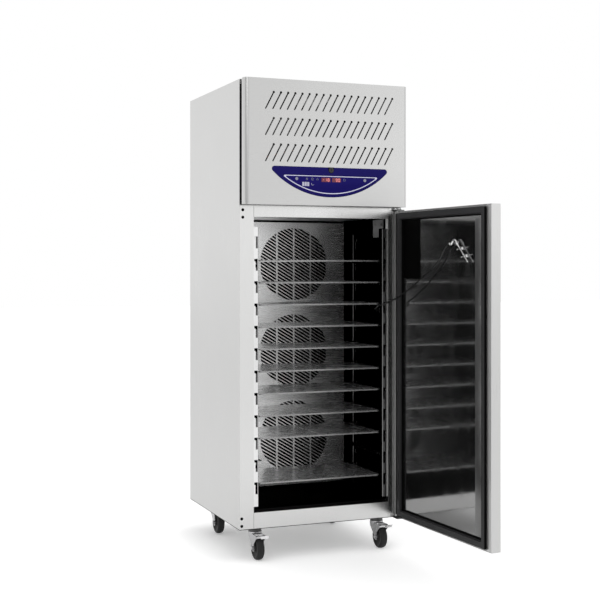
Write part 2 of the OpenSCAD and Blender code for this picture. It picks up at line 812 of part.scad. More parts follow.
// Channel open to the wall side, its face pierced by one keyhole slot per level
module rack_upright(y) {
    head_w = 11;
    head_h = 12;
    slot_w = 6.5;
    slot_x = upright_in + 6;
    stud_r = 7;
    difference() {
        union() {
            span([upright_in, y, upright_bottom], [upright_out, y + upright_t, upright_top]);
            span([upright_in, y, upright_bottom],
                 [upright_in + upright_t, y + upright_d, upright_top]);
        }
        for (z = concat([top_shelf_z + shelf_pitch], shelf_levels)) {
            span([slot_x, y - cut, z + 5 - rack_slot_h],
                 [slot_x + slot_w, y + cut - 1, z + 5]);
            span([slot_x, y - cut, z + 5 - head_h], [slot_x + head_w, y + cut - 1, z + 5]);
        }
    }
    // Studs that hold the channel off the wall
    for (z = [top_shelf_z - 25, top_shelf_z - 25 - 9 * shelf_pitch])
        x_rod(stud_r, [upright_in + upright_t, y + upright_d / 2, z],
              open_x - upright_in - upright_t);
}

module rack_uprights() color("whitesmoke")
    both_sides() {
        rack_upright(front_upright_y);
        rack_upright(rear_upright_y);
    }

// Angle that carries one end of a shelf, hooked on the uprights' inner sides
module shelf_runner(z) {
    leg_x = upright_in - small;
    ledge = z - shelf_t - small;
    span([leg_x - runner_t, runner_y0, z - runner_drop], [leg_x, runner_y1, z + runner_rise]);
    span([leg_x - runner_leg, runner_y0, ledge - runner_t], [leg_x, runner_y1, ledge]);
}

module shelf_runners() color("silver")
    both_sides() for (z = shelf_levels) shelf_runner(z);

// Sheet shelf with round corners, hems folded down in front and behind, and a row of drain
// holes along its middle, or one long slit on the lowest shelf
module shelf(i) color("silver") {
    z = loaded[i];
    y0 = front + shelf_inset;
    y1 = y0 + shelf_d;
    last = i == len(loaded) - 1;
    hole_pitch = 35;
    holes = floor((shelf_d - 40) / hole_pitch);
    difference() {
        union() {
            translate([0, (y0 + y1) / 2, z - shelf_t]) linear_extrude(shelf_t)
                round_rect(shelf_w, shelf_d, shelf_corner_r);
            // Front hem that turns round the corners, and a shorter one behind
            translate([0, (y0 + y1) / 2, z - hem_h]) linear_extrude(hem_h)
                intersection() {
                    difference() {
                        round_rect(shelf_w, shelf_d, shelf_corner_r);
                        round_rect(shelf_w - 2 * shelf_t, shelf_d - 2 * shelf_t,
                                   shelf_corner_r - shelf_t);
                    }
                    translate([-shelf_w / 2, -shelf_d / 2]) square([shelf_w, runner_setback]);
                }
            span([-hem_half, y1 - shelf_t, z - hem_h], [hem_half, y1, z]);
        }
        if (last)
            span([-slit_w / 2, y0 + 25, z - cut], [slit_w / 2, y1 - 25, z + cut]);
        else
            for (k = [0:holes])
                translate([0, y0 + 28 + k * hole_pitch, z - cut]) cylinder(r = 4, h = 2 * cut);
    }
}

// ---- Hinges, gland and castors -------------------------------------------------------------

module hinge_brackets() color("silver") {
    x0 = hinge_x - 18;
    x1 = half_w - 3;
    y0 = hinge_y - 14;
    top_z = door_top + 2.5;
    // Top: plate, foot on the top rail and pin down into the door
    span([x0, y0, top_z], [x1, front, top_z + bracket_t]);
    span([x0 - 8, front - 3, top_z], [x1, front, box_top - 1]);
    translate([hinge_x, hinge_y, door_top - pin_reach])
        cylinder(r = hinge_pin_r, h = top_z + bracket_t + 3 - door_top + pin_reach);
    translate([hinge_x, hinge_y, top_z + bracket_t]) cylinder(r = 8, h = 3);
    translate([hinge_x, hinge_y, door_top + rest_gap]) cylinder(r = 9, h = 2.5 - rest_gap);
    // Bottom: plate under the body, shoulder and pin up into the door
    span([x0, y0, castor_h - bracket_t], [x1, front + 60, castor_h]);
    translate([hinge_x, hinge_y, castor_h]) cylinder(r = 9, h = shoulder_h);
    translate([hinge_x, hinge_y, castor_h])
        cylinder(r = hinge_pin_r, h = door_bottom - castor_h + pin_reach);
}

gland_r = 6;
gland_nut_r = 10;
gland_tail = 14;
gland_y = cable_route[0][1];
gland_z = cable_route[0][2];
gland_gap = 1;                     // between the gland's nose and the cable's first ring

// Cable gland in the right wall: nut inside the insulation, collar and nose in the cavity
module cable_gland() color("black") {
    difference() {
        union() {
            x_rod(gland_r, [open_x - 1, gland_y, gland_z], gland_tail);
            x_rod(gland_nut_r, [open_x + liner_t, gland_y, gland_z], 8);
            x_rod(gland_nut_r, [open_x - 4, gland_y, gland_z], 4);
            x_rod(gland_r, [cable_route[0][0] + gland_gap, gland_y, gland_z],
                  open_x - cable_route[0][0] - gland_gap);
        }
        x_rod(cable_d / 2 - 1, [open_x, gland_y, gland_z], 2 * gland_tail);
    }
}

module at_castor(sx, y) translate([sx * castor_x, y, 0]) children();

module castor_plate() {
    plate_w = 90;
    plate_d = 84;
    difference() {
        translate([0, 0, castor_h - plate_t]) linear_extrude(plate_t)
            round_rect(plate_w, plate_d, 8);
        for (x = [-1, 1], y = [-1, 1])
            translate([x * 34, y * 30, castor_h - plate_t - cut])
                cylinder(r = 4.3, h = plate_t + 2 * cut);
    }
    translate([0, 0, race_z]) cylinder(r = 27, h = castor_h - race_z);
    // King pin through the fork's crown, with its head below
    translate([0, 0, crown_z - 3]) cylinder(r = 6, h = race_z - crown_z + 4);
    translate([0, 0, crown_z - 3.3]) cylinder(r = 10, h = 3);
}

module castor_plates() color("silver")
    for (s = [-1, 1]) {
        at_castor(s, castor_front_y) castor_plate();
        at_castor(s, castor_rear_y) castor_plate();
    }

// Side view of one cheek: y forward and back, z up, swivel axis at y = 0
module cheek_shape(braked) {
    polygon([[-castor_trail + 6, crown_z + 2], [24, crown_z + 2], [20, crown_z - 14],
             [-castor_trail + 13, wheel_r], [-castor_trail - 14, wheel_r],
             [-castor_trail - 4, wheel_r + 30]]);
    translate([-castor_trail, wheel_r]) circle(14);
    if (braked) {
        polygon([[0, crown_z + 2], [pedal_y + 2, pedal_z + 9], [pedal_y - 4, pedal_z - 8],
                 [-castor_trail - 10, wheel_r + 20], [0, wheel_r + 20]]);
        translate([pedal_y, pedal_z]) circle(9);
    }
}

module castor_fork(braked) {
    difference() {
        union() {
            translate([0, 0, crown_z]) cylinder(r = 29, h = crown_h);
            translate([-fork_gap - cheek_t, -24, crown_z])
                cube([2 * (fork_gap + cheek_t), 46, 4]);
            for (x = [-fork_gap - cheek_t, fork_gap])
                translate([x, 0, 0]) rotate([90, 0, 90]) linear_extrude(cheek_t)
                    cheek_shape(braked);
        }
        translate([0, 0, crown_z - cut]) cylinder(r = 6 + run_gap, h = crown_h + 2 * cut);
    }
    // Axle bolt with its head and nut
    x_rod(axle_r, [-fork_gap - cheek_t - 6, -castor_trail, wheel_r],
          2 * (fork_gap + cheek_t) + 12);
    for (x = [-fork_gap - cheek_t - 5, fork_gap + cheek_t])
        x_rod(9, [x, -castor_trail, wheel_r], 5, $fn = 6);
    if (braked)
        x_rod(pedal_pin_r, [-fork_gap - cheek_t, pedal_y, pedal_z],
              2 * (fork_gap + cheek_t));
}

// Wheel about the axle: crowned tread, dished hub faces, bored boss
module castor_wheel() {
    crown = 90;
    hub_r = 36;
    dish = 5;
    boss_w = wheel_w + 3;
    x_rod_at = [-boss_w / 2, -castor_trail, wheel_r];
    difference() {
        union() {
            translate([0, -castor_trail, wheel_r]) rotate([0, 90, 0])
                rotate_extrude($fn = 96)
                    difference() {
                        intersection() {
                            translate([0, -wheel_w / 2]) square([wheel_r, wheel_w]);
                            translate([wheel_r - crown, 0]) circle(crown, $fn = 180);
                        }
                        for (s = [-1, 1])
                            translate([0, s * wheel_w / 2 - dish]) square([hub_r, 2 * dish]);
                    }
            x_rod(12, x_rod_at, boss_w);
        }
        x_rod(axle_r + run_gap, x_rod_at - [cut, 0, 0], boss_w + 2 * cut);
    }
}

// Foot pedal that turns on the pin between the fork's ears
module brake_pedal() {
    half = fork_gap - 0.5;
    foot = 24;
    barrel_r = 6;
    difference() {
        union() {
            x_rod(barrel_r, [-half, pedal_y, pedal_z], 2 * half);
            translate([0, pedal_y, pedal_z]) rotate([-12, 0, 0]) {
                span([-half + 2, -34, 2], [half - 2, 0, 5]);
                translate([0, -44, 2]) linear_extrude(3) round_rect(2 * foot, 26, 6);
                span([-half + 2, -57, -6], [half - 2, -54, 5]);
            }
        }
        x_rod(pedal_pin_r + run_gap, [-half - cut, pedal_y, pedal_z], 2 * (half + cut));
    }
}

// ---- Door, drawn closed --------------------------------------------------------------------

// Plan of the door's hollow body, round at its outer hinge-side corner; the inner side stays
// at the plane y1
module door_plan(inset, y1) {
    r = door_corner_r - inset;
    x0 = body_x + inset;
    x1 = half_w - inset;
    y0 = door_out + inset;
    translate([x0, y0]) square([x1 - r - x0, y1 - y0]);
    translate([x0, y0 + r]) square([x1 - x0, y1 - y0 - r]);
    translate([x1 - r, y0 + r]) circle(r);
}

module hinge_block(z)
    translate([0, 0, z]) linear_extrude(block_h) intersection() {
        door_plan(0, door_in - skin);
        translate([half_w - block_w, door_out]) square([block_w, door_t]);
    }

module door_skin() color("gainsboro") on_door()
    difference() {
        union() {
            translate([0, 0, door_bottom]) linear_extrude(door_top - door_bottom)
                difference() {
                    door_plan(0, door_in);
                    door_plan(skin, door_in + cut);
                }
            for (z = [door_bottom, door_top - skin])
                translate([0, 0, z]) linear_extrude(skin) door_plan(0, door_in - skin);
            hinge_block(door_bottom);
            hinge_block(door_top - block_h);
        }
        for (z = [door_bottom - cut, door_top - block_h - cut])
            translate([hinge_x, hinge_y, z])
                cylinder(r = hinge_pin_r + run_gap, h = block_h + 2 * cut);
    }

module door_foam() color("khaki") on_door() {
    difference() {
        translate([0, 0, door_bottom + skin])
            linear_extrude(door_top - door_bottom - 2 * skin) door_plan(skin, door_in - skin);
        pan_volume(skin);
        for (z = [door_bottom, door_top - block_h])
            span([half_w - block_w, door_out, z], [half_w, door_in, z + block_h]);
    }
}

// Space of the pressed panel inside the seal
module pan_volume(grow) {
    span([-gasket_in + pan_margin - grow, door_in - pan_drop - grow, gasket_lo + gasket_w + pan_margin - grow],
         [gasket_in - pan_margin + grow, door_in + cut, gasket_hi - gasket_w - pan_margin + grow]);
}

module door_liner() color("darkgray") on_door() {
    difference() {
        union() {
            span([body_x + skin, door_in - skin, door_bottom],
                 [half_w - skin, door_in, door_top]);
            intersection() {
                pan_volume(skin);
                span([-half_w, door_out, 0], [half_w, door_in, door_top]);
            }
        }
        pan_volume(0);
    }
}

// Seal: wide foot in its groove line and a narrower magnetic face that meets the frame
module door_gasket() color("dimgray") on_door() {
    foot = 4;
    face_inset = 3;
    upright_ring(gasket_out, gasket_in, gasket_lo, gasket_lo + gasket_w,
                 gasket_hi - gasket_w, gasket_hi, door_in, door_in + foot);
    upright_ring(gasket_out - face_inset, gasket_in + face_inset,
                 gasket_lo + face_inset, gasket_lo + gasket_w - face_inset,
                 gasket_hi - gasket_w + face_inset, gasket_hi - face_inset,
                 door_in + foot, door_in + gasket_t);
}

// Pull along the free edge: round front corner, turned-in strip and a finger groove behind it
module door_pull() color("gainsboro") on_door() {
    wall = 2.5;
    strip_t = 2.5;
    flare = 4;
    r = door_corner_r;
    web = 14;                      // depth of the solid part in front of the groove
    translate([0, 0, door_bottom]) linear_extrude(door_top - door_bottom)
        difference() {
            union() {
                translate([-half_w + r, door_out]) square([body_x + half_w - r - small, web]);
                translate([-half_w, door_out + r])
                    polygon([[0, 0], [pull_w, 0], [pull_w, door_t - r],
                             [4, door_t - r - flare], [0, door_t - r - flare - 4]]);
                translate([-half_w + r, door_out + r]) circle(r);
                translate([-half_w + r, door_out]) square([pull_w - r, r + 1]);
            }
            translate([-half_w + wall + r, door_out + wall])
                square([pull_w - 2 * wall - r, door_t - flare - 2 * wall - strip_t]);
        }
}

// ---- Food probe ----------------------------------------------------------------------------

// Point on the open door given by its distance along the door from the hinge axis, its
// distance in front of that axis and its height
function door_point(t, off, z) = [
    hinge_x - cos(door_angle) * t - sin(door_angle) * off,
    hinge_y - sin(door_angle) * t + cos(door_angle) * off, z];

// Places along the door, and down from its top, of the probe's bends and tip
probe_points = [[450, 154], [470, 134], [493, 146], [508, 161], [572, 223]];
ferrule_r = probe_r + 0.8;

function probe_at(i) =
    door_point(probe_points[i][0], probe_off, door_top - probe_points[i][1]);

module food_probe() color("silver") {
    last = len(cable_route) - 1;
    run = cable_route[last] - cable_route[last - 1];
    ferrule = cable_route[last] + (ferrule_r + rest_gap) * run / norm(run);
    // Round ferrule at the cable's end and the bent handle tube
    translate(ferrule) sphere(ferrule_r);
    round_bar(probe_r - 0.5, ferrule, probe_at(0));
    for (i = [0:2]) round_bar(probe_r, probe_at(i), probe_at(i + 1));
    for (i = [0:3]) translate(probe_at(i)) sphere(probe_r + 0.6);
    // Needle with its rounded tip
    round_bar(needle_r, probe_at(3), probe_at(4));
    translate(probe_at(4)) sphere(needle_r + 0.8);
}

// Two open clips on the pressed panel that hold the handle and the needle
module probe_clip(t, z, r) {
    reach = probe_off - (hinge_reach - (front - pan_face)) ;
    translate([hinge_x - t, pan_face, z]) {
        span([-9, 0, -12], [9, 1.5, 12]);
        difference() {
            y_rod(r + 2.2, [0, 0, 0], reach + 4);
            y_rod(r + 0.6, [0, 1.5, 0], reach + 10);
            translate([0, reach, 0]) rotate([0, -46, 0])
                cube([60, 2 * r + 8, 2 * r + 1], center = true);
        }
    }
}

module probe_clips() color("lightgray") on_door() {
    for (k = [0.2, 0.6]) {
        along = probe_points[3] + k * (probe_points[4] - probe_points[3]);
        probe_clip(along[0], door_top - along[1], needle_r + 3);
    }
}

// Tube swept along the cable's route: ring i stands square to the mean of its two runs
function unit(v) = v / norm(v);
function route_dir(p, i) = unit(unit(p[min(i + 1, len(p) - 1)] - p[min(i, len(p) - 2)])
                                + unit(p[max(i, 1)] - p[max(i - 1, 0)]));
function ring(p, i, r) =
    let (d = route_dir(p, i), a = unit(cross(d, [0, 0, 1])), b = cross(d, a))
    [for (k = [0:cable_sides - 1])
        p[i] + r * (cos(k * 360 / cable_sides) * a + sin(k * 360 / cable_sides) * b)];

module swept_tube(p, r) {
    n = len(p);
    m = cable_sides;
    points = [for (i = [0:n - 1]) each ring(p, i, r)];
    sides = [for (i = [0:n - 2], k = [0:m - 1])
        let (a = i * m + k, b = i * m + (k + 1) % m) each [[a, b + m, b], [a, a + m, b + m]]];
    caps = [for (k = [1:m - 2]) each [[0, k, k + 1],
                                     [(n - 1) * m, (n - 1) * m + k + 1, (n - 1) * m + k]]];
    polyhedron(points = points, faces = concat(sides, caps));
}

module probe_cable() color("black") swept_tube(cable_route, cable_d / 2);

// ---- Nodes ---------------------------------------------------------------------------------

outer_case();
inner_liner();
cabinet_foam();
front_frame();
base_pan();
unit_frame();
roof_panel();
unit_panel();
control_bezel();
control_panel();
controller_box();
panel_lock();
start_key();
stop_key();
compressor();
condenser_coil();
condenser_fan_motor();
condenser_fan();
refrigerant_pipes();
electrical_box();
air_panel();
evaporator_coil();
evaporator_motors();
evaporator_fan_top();
evaporator_fan_middle();
evaporator_fan_bottom();
drip_tray();
rack_uprights();
shelf_runners();
for (i = [0:len(shelf_names) - 1])
    shelf(i);
hinge_brackets();
cable_gland();
castor_plates();
color("silver") at_castor(-1, castor_front_y) castor_fork(true);  // castor_fork_front_left
color("silver") at_castor(1, castor_front_y) castor_fork(true);  // castor_fork_front_right
color("silver") at_castor(-1, castor_rear_y) castor_fork(false);  // castor_fork_rear_left
color("silver") at_castor(1, castor_rear_y) castor_fork(false);  // castor_fork_rear_right
color("black") at_castor(-1, castor_front_y) castor_wheel();  // castor_wheel_front_left
color("black") at_castor(1, castor_front_y) castor_wheel();  // castor_wheel_front_right
color("black") at_castor(-1, castor_rear_y) castor_wheel();  // castor_wheel_rear_left
color("black") at_castor(1, castor_rear_y) castor_wheel();  // castor_wheel_rear_right
color("silver") at_castor(-1, castor_front_y) brake_pedal();  // brake_pedal_left
color("silver") at_castor(1, castor_front_y) brake_pedal();  // brake_pedal_right
door_skin();
door_foam();
door_liner();
door_gasket();
door_pull();
probe_clips();
food_probe();
probe_cable();
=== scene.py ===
"""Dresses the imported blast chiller: finishes for every sheet, moulding and fitting, the parts
that are finer than the solids, and a plain studio."""

import math

import bmesh
import bpy
import numpy as np
from bpy.props import (
    FloatProperty,
    FloatVectorProperty,
    IntProperty,
    PointerProperty,
)
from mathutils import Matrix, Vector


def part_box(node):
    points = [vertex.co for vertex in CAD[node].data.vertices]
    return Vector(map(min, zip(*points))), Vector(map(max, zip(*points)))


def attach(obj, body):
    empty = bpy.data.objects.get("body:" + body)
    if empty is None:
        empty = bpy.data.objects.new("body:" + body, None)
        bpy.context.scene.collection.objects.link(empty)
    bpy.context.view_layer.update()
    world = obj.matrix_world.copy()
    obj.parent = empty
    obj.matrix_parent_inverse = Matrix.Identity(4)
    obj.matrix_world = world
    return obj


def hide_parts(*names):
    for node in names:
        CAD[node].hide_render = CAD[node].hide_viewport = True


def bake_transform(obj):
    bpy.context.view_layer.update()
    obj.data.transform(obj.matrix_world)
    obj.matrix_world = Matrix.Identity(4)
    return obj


bl_info = {
    "name": "Reach-in Blast Chiller",
    "version": (1, 0, 0),
    "blender": (4, 5, 0),
    "location": "3D View > Sidebar > Chiller",
    "description": "Finishes, trim and studio for an upright reach-in blast chiller",
    "category": "Object",
}

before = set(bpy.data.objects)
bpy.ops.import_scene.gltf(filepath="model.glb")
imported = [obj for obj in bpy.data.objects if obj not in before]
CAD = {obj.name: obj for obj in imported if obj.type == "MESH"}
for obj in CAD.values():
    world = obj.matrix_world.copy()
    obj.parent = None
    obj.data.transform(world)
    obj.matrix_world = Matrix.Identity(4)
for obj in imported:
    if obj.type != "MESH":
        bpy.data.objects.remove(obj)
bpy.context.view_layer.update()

# Planes and centres that the finer parts are set against, some read from the imported nodes and the
# rest given in metres
CASE_LOW, CASE_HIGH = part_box("outer_case")
BEZEL_LOW, BEZEL_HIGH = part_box("control_bezel")
FRAME_LOW, FRAME_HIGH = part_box("front_frame")
FRONT_Y = CASE_LOW.y
OPENING_X = CASE_HIGH.x - 0.063
SILL_HIGH = 0.204
RAIL_LOW = 1.443
CEILING_Z = 1.4494
AIR_PANEL_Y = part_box("air_panel")[0].y
DOOR_ANGLE = math.radians(93.0)
HINGE_X = CASE_HIGH.x - 0.019
HINGE_Y = FRONT_Y - 0.025
DOOR_TOP = 1.475
DOOR_LOW = 0.141
DOOR_INNER_Y = FRONT_Y - 0.011
WELL_Y = DOOR_INNER_Y - 0.006
SEAL_WIDTH = 0.028
SEAL_INSET = 0.008
WAYS = {-1: "left", 1: "right"}
RACK_OUT = 0.312
RACK_IN = 0.288
RACK_THICK = 0.0015
RACK_BEND = 0.003
RACK_LOW = 0.2275
LEVEL_TOP = 1.262
LEVEL_PITCH = 0.09375

# Outline of the control moulding: a level top, a low arc below, two round corners
FACE_Y = BEZEL_LOW.y
FACE_TOP = BEZEL_HIGH.z
FACE_X = (BEZEL_LOW.x + BEZEL_HIGH.x) / 2
FACE_CORNER = 0.012
FACE_HALF = 0.270
FACE_SAG = BEZEL_HIGH.z - BEZEL_LOW.z - FACE_CORNER
FACE_ARC = (FACE_HALF**2 + FACE_SAG**2) / (2 * FACE_SAG)
FACE_ARC_Z = BEZEL_LOW.z + FACE_ARC
FACE_RIM = 0.0127
FACE_BAND = 0.036
KEY_Z = FACE_TOP - 0.0515


# ---------------------------------------------------------------------------
# Shapes: whole arrays of points, turned into meshes
# ---------------------------------------------------------------------------


def open_door(points):
    """Turns points of the closed door about the hinge axis to where the door stands:
    x' = hx + c dx - s dy, y' = hy + s dx + c dy."""
    cosine, sine = math.cos(DOOR_ANGLE), math.sin(DOOR_ANGLE)
    dx, dy = points[..., 0] - HINGE_X, points[..., 1] - HINGE_Y
    turned_x = HINGE_X + cosine * dx - sine * dy
    turned_y = HINGE_Y + sine * dx + cosine * dy
    return np.stack([turned_x, turned_y, points[..., 2]], axis=-1)


def turn_open(made):
    """Turns a finished mesh that was drawn on the closed door to where the door stands."""
    points = np.empty(3 * len(made.data.vertices))
    made.data.vertices.foreach_get("co", points)
    made.data.vertices.foreach_set("co", open_door(points.reshape(-1, 3)).ravel())
    made.data.update()
    return made


def mesh_piece(name, points, faces, smooth=True, bevel=0.0):
    """An object at the origin from an (n, 3) array of points and a list of faces."""
    mesh = bpy.data.meshes.new(name)
    mesh.from_pydata(np.asarray(points, float).reshape(-1, 3).tolist(), [], faces)
    mesh.validate()
    mesh.update()
    made = bpy.data.objects.new(name, mesh)
    bpy.context.scene.collection.objects.link(made)
    if smooth:
        mesh.shade_smooth()
    if bevel:
        rounding = made.modifiers.new("rounded edges", "BEVEL")
        rounding.width = bevel
        rounding.segments = 2
        rounding.limit_method = "ANGLE"
    return made


def outward(made):
    """Merges doubles and points every face outwards, for shapes that were mirrored or closed."""
    work = bmesh.new()
    work.from_mesh(made.data)
    bmesh.ops.remove_doubles(work, verts=work.verts, dist=1e-6)
    bmesh.ops.recalc_face_normals(work, faces=work.faces)
    work.to_mesh(made.data)
    work.free()
    return made


def grid_faces(rows, columns, close_rows=False, close_columns=False):
    """Quads of a rows x columns grid of points; a closed way joins its last line to its first."""
    i = np.arange(rows if close_rows else rows - 1)[:, None]
    j = np.arange(columns if close_columns else columns - 1)[None, :]
    i2, j2 = (i + 1) % rows, (j + 1) % columns
    ring = (i * columns + j, i * columns + j2, i2 * columns + j2, i2 * columns + j)
    return np.stack(np.broadcast_arrays(*ring), axis=-1).reshape(-1, 4).tolist()


def tube_faces(rows, columns):
    """Faces of a tube of closed rings, with its two end faces."""
    first = np.arange(columns)[::-1]
    last = np.arange(columns) + (rows - 1) * columns
    return grid_faces(rows, columns, close_columns=True) + [first.tolist(), last.tolist()]


def tube_points(path, radii, sides=16):
    """Rings along a path: p(s, a) = path(s) + r(s) (cos a  e1(s) + sin a  e2(s)), where e1 and e2
    stand square to the path's tangent and e1 stays level."""
    path = np.asarray(path, float)
    tangent = np.gradient(path, axis=0)
    tangent /= np.linalg.norm(tangent, axis=1, keepdims=True)
    level = np.cross(tangent, [0.0, 0.0, 1.0])
    level /= np.linalg.norm(level, axis=1, keepdims=True)
    rise = np.cross(tangent, level)
    angle = np.linspace(0.0, 2 * np.pi, sides, endpoint=False)[None, :, None]
    radii = np.broadcast_to(np.asarray(radii, float), (len(path),))[:, None, None]
    return path[:, None] + radii * (
        np.cos(angle) * level[:, None] + np.sin(angle) * rise[:, None]
    )


def tube(name, path, radii, sides=16):
    """A closed tube with flat ends along a path, with one radius or one for each point."""
    points = tube_points(path, radii, sides)
    return outward(mesh_piece(name, points, tube_faces(len(points), sides)))


def smooth_path(points, per_span=6):
    """Catmull-Rom curve through the points: each span is a cubic whose slope at a point is half
    the step between its neighbours."""
    p = np.asarray(points, float)
    p = np.vstack([2 * p[0] - p[1], p, 2 * p[-1] - p[-2]])
    a, b, c, d = p[:-3], p[1:-2], p[2:-1], p[3:]
    t = np.linspace(0.0, 1.0, per_span, endpoint=False)[None, :, None]
    curve = 0.5 * (
        2 * b[:, None]
        + (c - a)[:, None] * t
        + (2 * a - 5 * b + 4 * c - d)[:, None] * t**2
        + (3 * b - a - 3 * c + d)[:, None] * t**3
    )
    return np.vstack([curve.reshape(-1, p.shape[1]), p[-2]])


def turned(name, profile, centre, axis="x", sides=64):
    """A lathe shape: radius r(s) at height h(s) turned about an axis through the centre."""
    profile = np.asarray(profile, float)
    angle = np.linspace(0.0, 2 * np.pi, sides, endpoint=False)[None, :]
    r, h = profile[:, :1], profile[:, 1:]
    across, up = r * np.cos(angle), r * np.sin(angle)
    along = np.broadcast_to(h, across.shape)
    order = {"x": (along, across, up), "y": (across, along, up), "z": (across, up, along)}
    points = np.stack(order[axis], axis=-1) + np.asarray(centre, float)
    return outward(mesh_piece(name, points, tube_faces(len(profile), sides)))


def joined(name, parts):
    """One mesh from several, for small parts that belong together."""
    work = bmesh.new()
    for part in parts:
        work.from_mesh(part.data)
        bpy.data.objects.remove(part)
    mesh = bpy.data.meshes.new(name)
    work.to_mesh(mesh)
    work.free()
    made = bpy.data.objects.new(name, mesh)
    bpy.context.scene.collection.objects.link(made)
    return made


def prism(name, outline, ends, order, bevel=0.0):
    """An outline (u_i, v_i) carried straight to both ends w_k and closed there. order says
    which of u, v and w is X, Y and Z."""
    outline = np.asarray(outline, float)
    rings = [np.column_stack([outline, np.full(len(outline), end)])[:, order] for end in ends]
    faces = tube_faces(2, len(outline))
    return outward(mesh_piece(name, np.stack(rings), faces, False, bevel))


def slab(name, outline, front, back, bevel=0.0):
    """A flat plate: an outline in X and Z between two Y planes."""
    return prism(name, outline, (front, back), [0, 2, 1], bevel)


def post(name, outline, low, high, bevel=0.0):
    """An upright bar: an outline in X and Y between two levels."""
    return prism(name, outline, (low, high), [0, 1, 2], bevel)


def pierced(name, xs, zs, kept, front, back):
    """A plate with openings: cell (i, k) between xs[i], xs[i + 1], zs[k] and zs[k + 1] stands
    where kept is true, and gets a wall wherever its neighbour is missing."""
    x, z = np.meshgrid(xs, zs, indexing="ij")
    points = np.vstack(
        [np.column_stack([x.ravel(), np.full(x.size, y), z.ravel()]) for y in (front, back)]
    )
    number = np.arange(x.size).reshape(x.shape)
    ring = [number[:-1, :-1], number[1:, :-1], number[1:, 1:], number[:-1, 1:]]
    around = np.pad(kept, 1)
    beside = [around[1:-1, :-2], around[2:, 1:-1], around[1:-1, 2:], around[:-2, 1:-1]]
    near = np.stack(ring, axis=-1)[kept]
    faces = [near, near[:, ::-1] + x.size]
    for k, neighbour in enumerate(beside):
        bare = kept & ~neighbour
        a, b = ring[k][bare], ring[(k + 1) % 4][bare]
        faces.append(np.stack([b, a, a + x.size, b + x.size], axis=-1))
    used, faces = np.unique(np.vstack(faces), return_inverse=True)
    return outward(mesh_piece(name, points[used], faces.reshape(-1, 4).tolist(), False))


def arc(x, z, radius, start, stop, steps=24):
    """Points of an arc between two angles in degrees: centre + r (cos a, sin a)."""
    turn = np.radians(np.linspace(start, stop, steps))
    return np.column_stack([x + radius * np.cos(turn), z + radius * np.sin(turn)])


def round_corners(x0, x1, z0, z1, radius, steps=6):
    """Rectangle with quarter-circle corners, corner by corner from the upper right."""
    xs, zs = (x0 + radius, x1 - radius), (z0 + radius, z1 - radius)
    corners = ((xs[1], zs[1]), (xs[0], zs[1]), (xs[0], zs[0]), (xs[1], zs[0]))
    return np.vstack(
        [arc(x, z, radius, 90 * k, 90 * k + 90, steps) for k, (x, z) in enumerate(corners)]
    )


def stroke(points, width):
    """Outline of a printed line: the points moved half a width to each side along the normal."""
    points = np.asarray(points, float)
    along = np.gradient(points, axis=0)
    along /= np.linalg.norm(along, axis=1, keepdims=True)
    side = np.column_stack([-along[:, 1], along[:, 0]]) * width / 2
    return np.vstack([points + side, (points - side)[::-1]])


def bolt(name, place, axis, size, facing=1):
    """Hexagon bolt with its washer, standing along an axis: a lathe shape of 32 sides under
    one of 6 sides."""
    washer = [(0.0, 0.0), (size * 1.15, 0.0), (size * 1.15, size * 0.16), (0.0, size * 0.16)]
    head = [
        (0.0, size * 0.16), (size * 0.86, size * 0.16), (size * 0.86, size * 0.62),
        (size * 0.70, size * 0.74), (0.0, size * 0.74),
    ]
    parts = [
        turned(f"{name} {k}", [(max(r, 1e-5), facing * h) for r, h in shape], place, axis, n)
        for k, (shape, n) in enumerate(((washer, 32), (head, 6)))
    ]
    made = joined(name, parts)
    made.data.shade_flat()
    return made


# ---------------------------------------------------------------------------
# Finishes: node trees written as expressions
# ---------------------------------------------------------------------------


class Wire:
    """A number or vector on a socket. Each operator adds one Math node."""

    def __init__(self, nodes, socket):
        self.nodes = nodes
        self.socket = socket

    def _maths(self, operation, first, second):
        return self.nodes.node(
            "ShaderNodeMath", {"operation": operation}, {0: first, 1: second}
        )

    def __add__(self, other):
        return self._maths("ADD", self, other)

    def __radd__(self, other):
        return self._maths("ADD", other, self)

    def __sub__(self, other):
        return self._maths("SUBTRACT", self, other)

    def __rsub__(self, other):
        return self._maths("SUBTRACT", other, self)

    def __mul__(self, other):
        return self._maths("MULTIPLY", self, other)


class Nodes:
    """A node tree while it is built."""

    def __init__(self, tree):
        self.tree = tree

    def sockets(self, node, values):
        """Links or sets the named sockets of a node."""
        for key, value in values.items():
            if isinstance(value, Wire):
                self.tree.links.new(value.socket, node.inputs[key])
            else:
                node.inputs[key].default_value = value

    def node(self, kind, settings=None, values=None, output=0):
        """Adds a node: its settings first, then its sockets. Returns one output as a Wire."""
        made = self.tree.nodes.new(kind)
        for key, value in (settings or {}).items():
            setattr(made, key, value)
        self.sockets(made, values or {})
        return Wire(self, made.outputs[output])

    def rays(self, *kinds):
        """Masks of the kinds of ray, such as Camera or Glossy."""
        return [self.node("ShaderNodeLightPath", output=f"Is {kind} Ray") for kind in kinds]

    def blend(self, factor, first, second):
        """A colour between two colours."""
        return self.node(
            "ShaderNodeMix",
            {"data_type": "RGBA"},
            {0: factor, 6: (*first, 1.0), 7: (*second, 1.0)},
            output=2,
        )

    def spread(self, value, low, high):
        """Stretches a value's range low to high onto 0 to 1, with soft ends."""
        return self.node(
            "ShaderNodeMapRange",
            {"interpolation_type": "SMOOTHSTEP"},
            {"Value": value, "From Min": low, "From Max": high},
        )


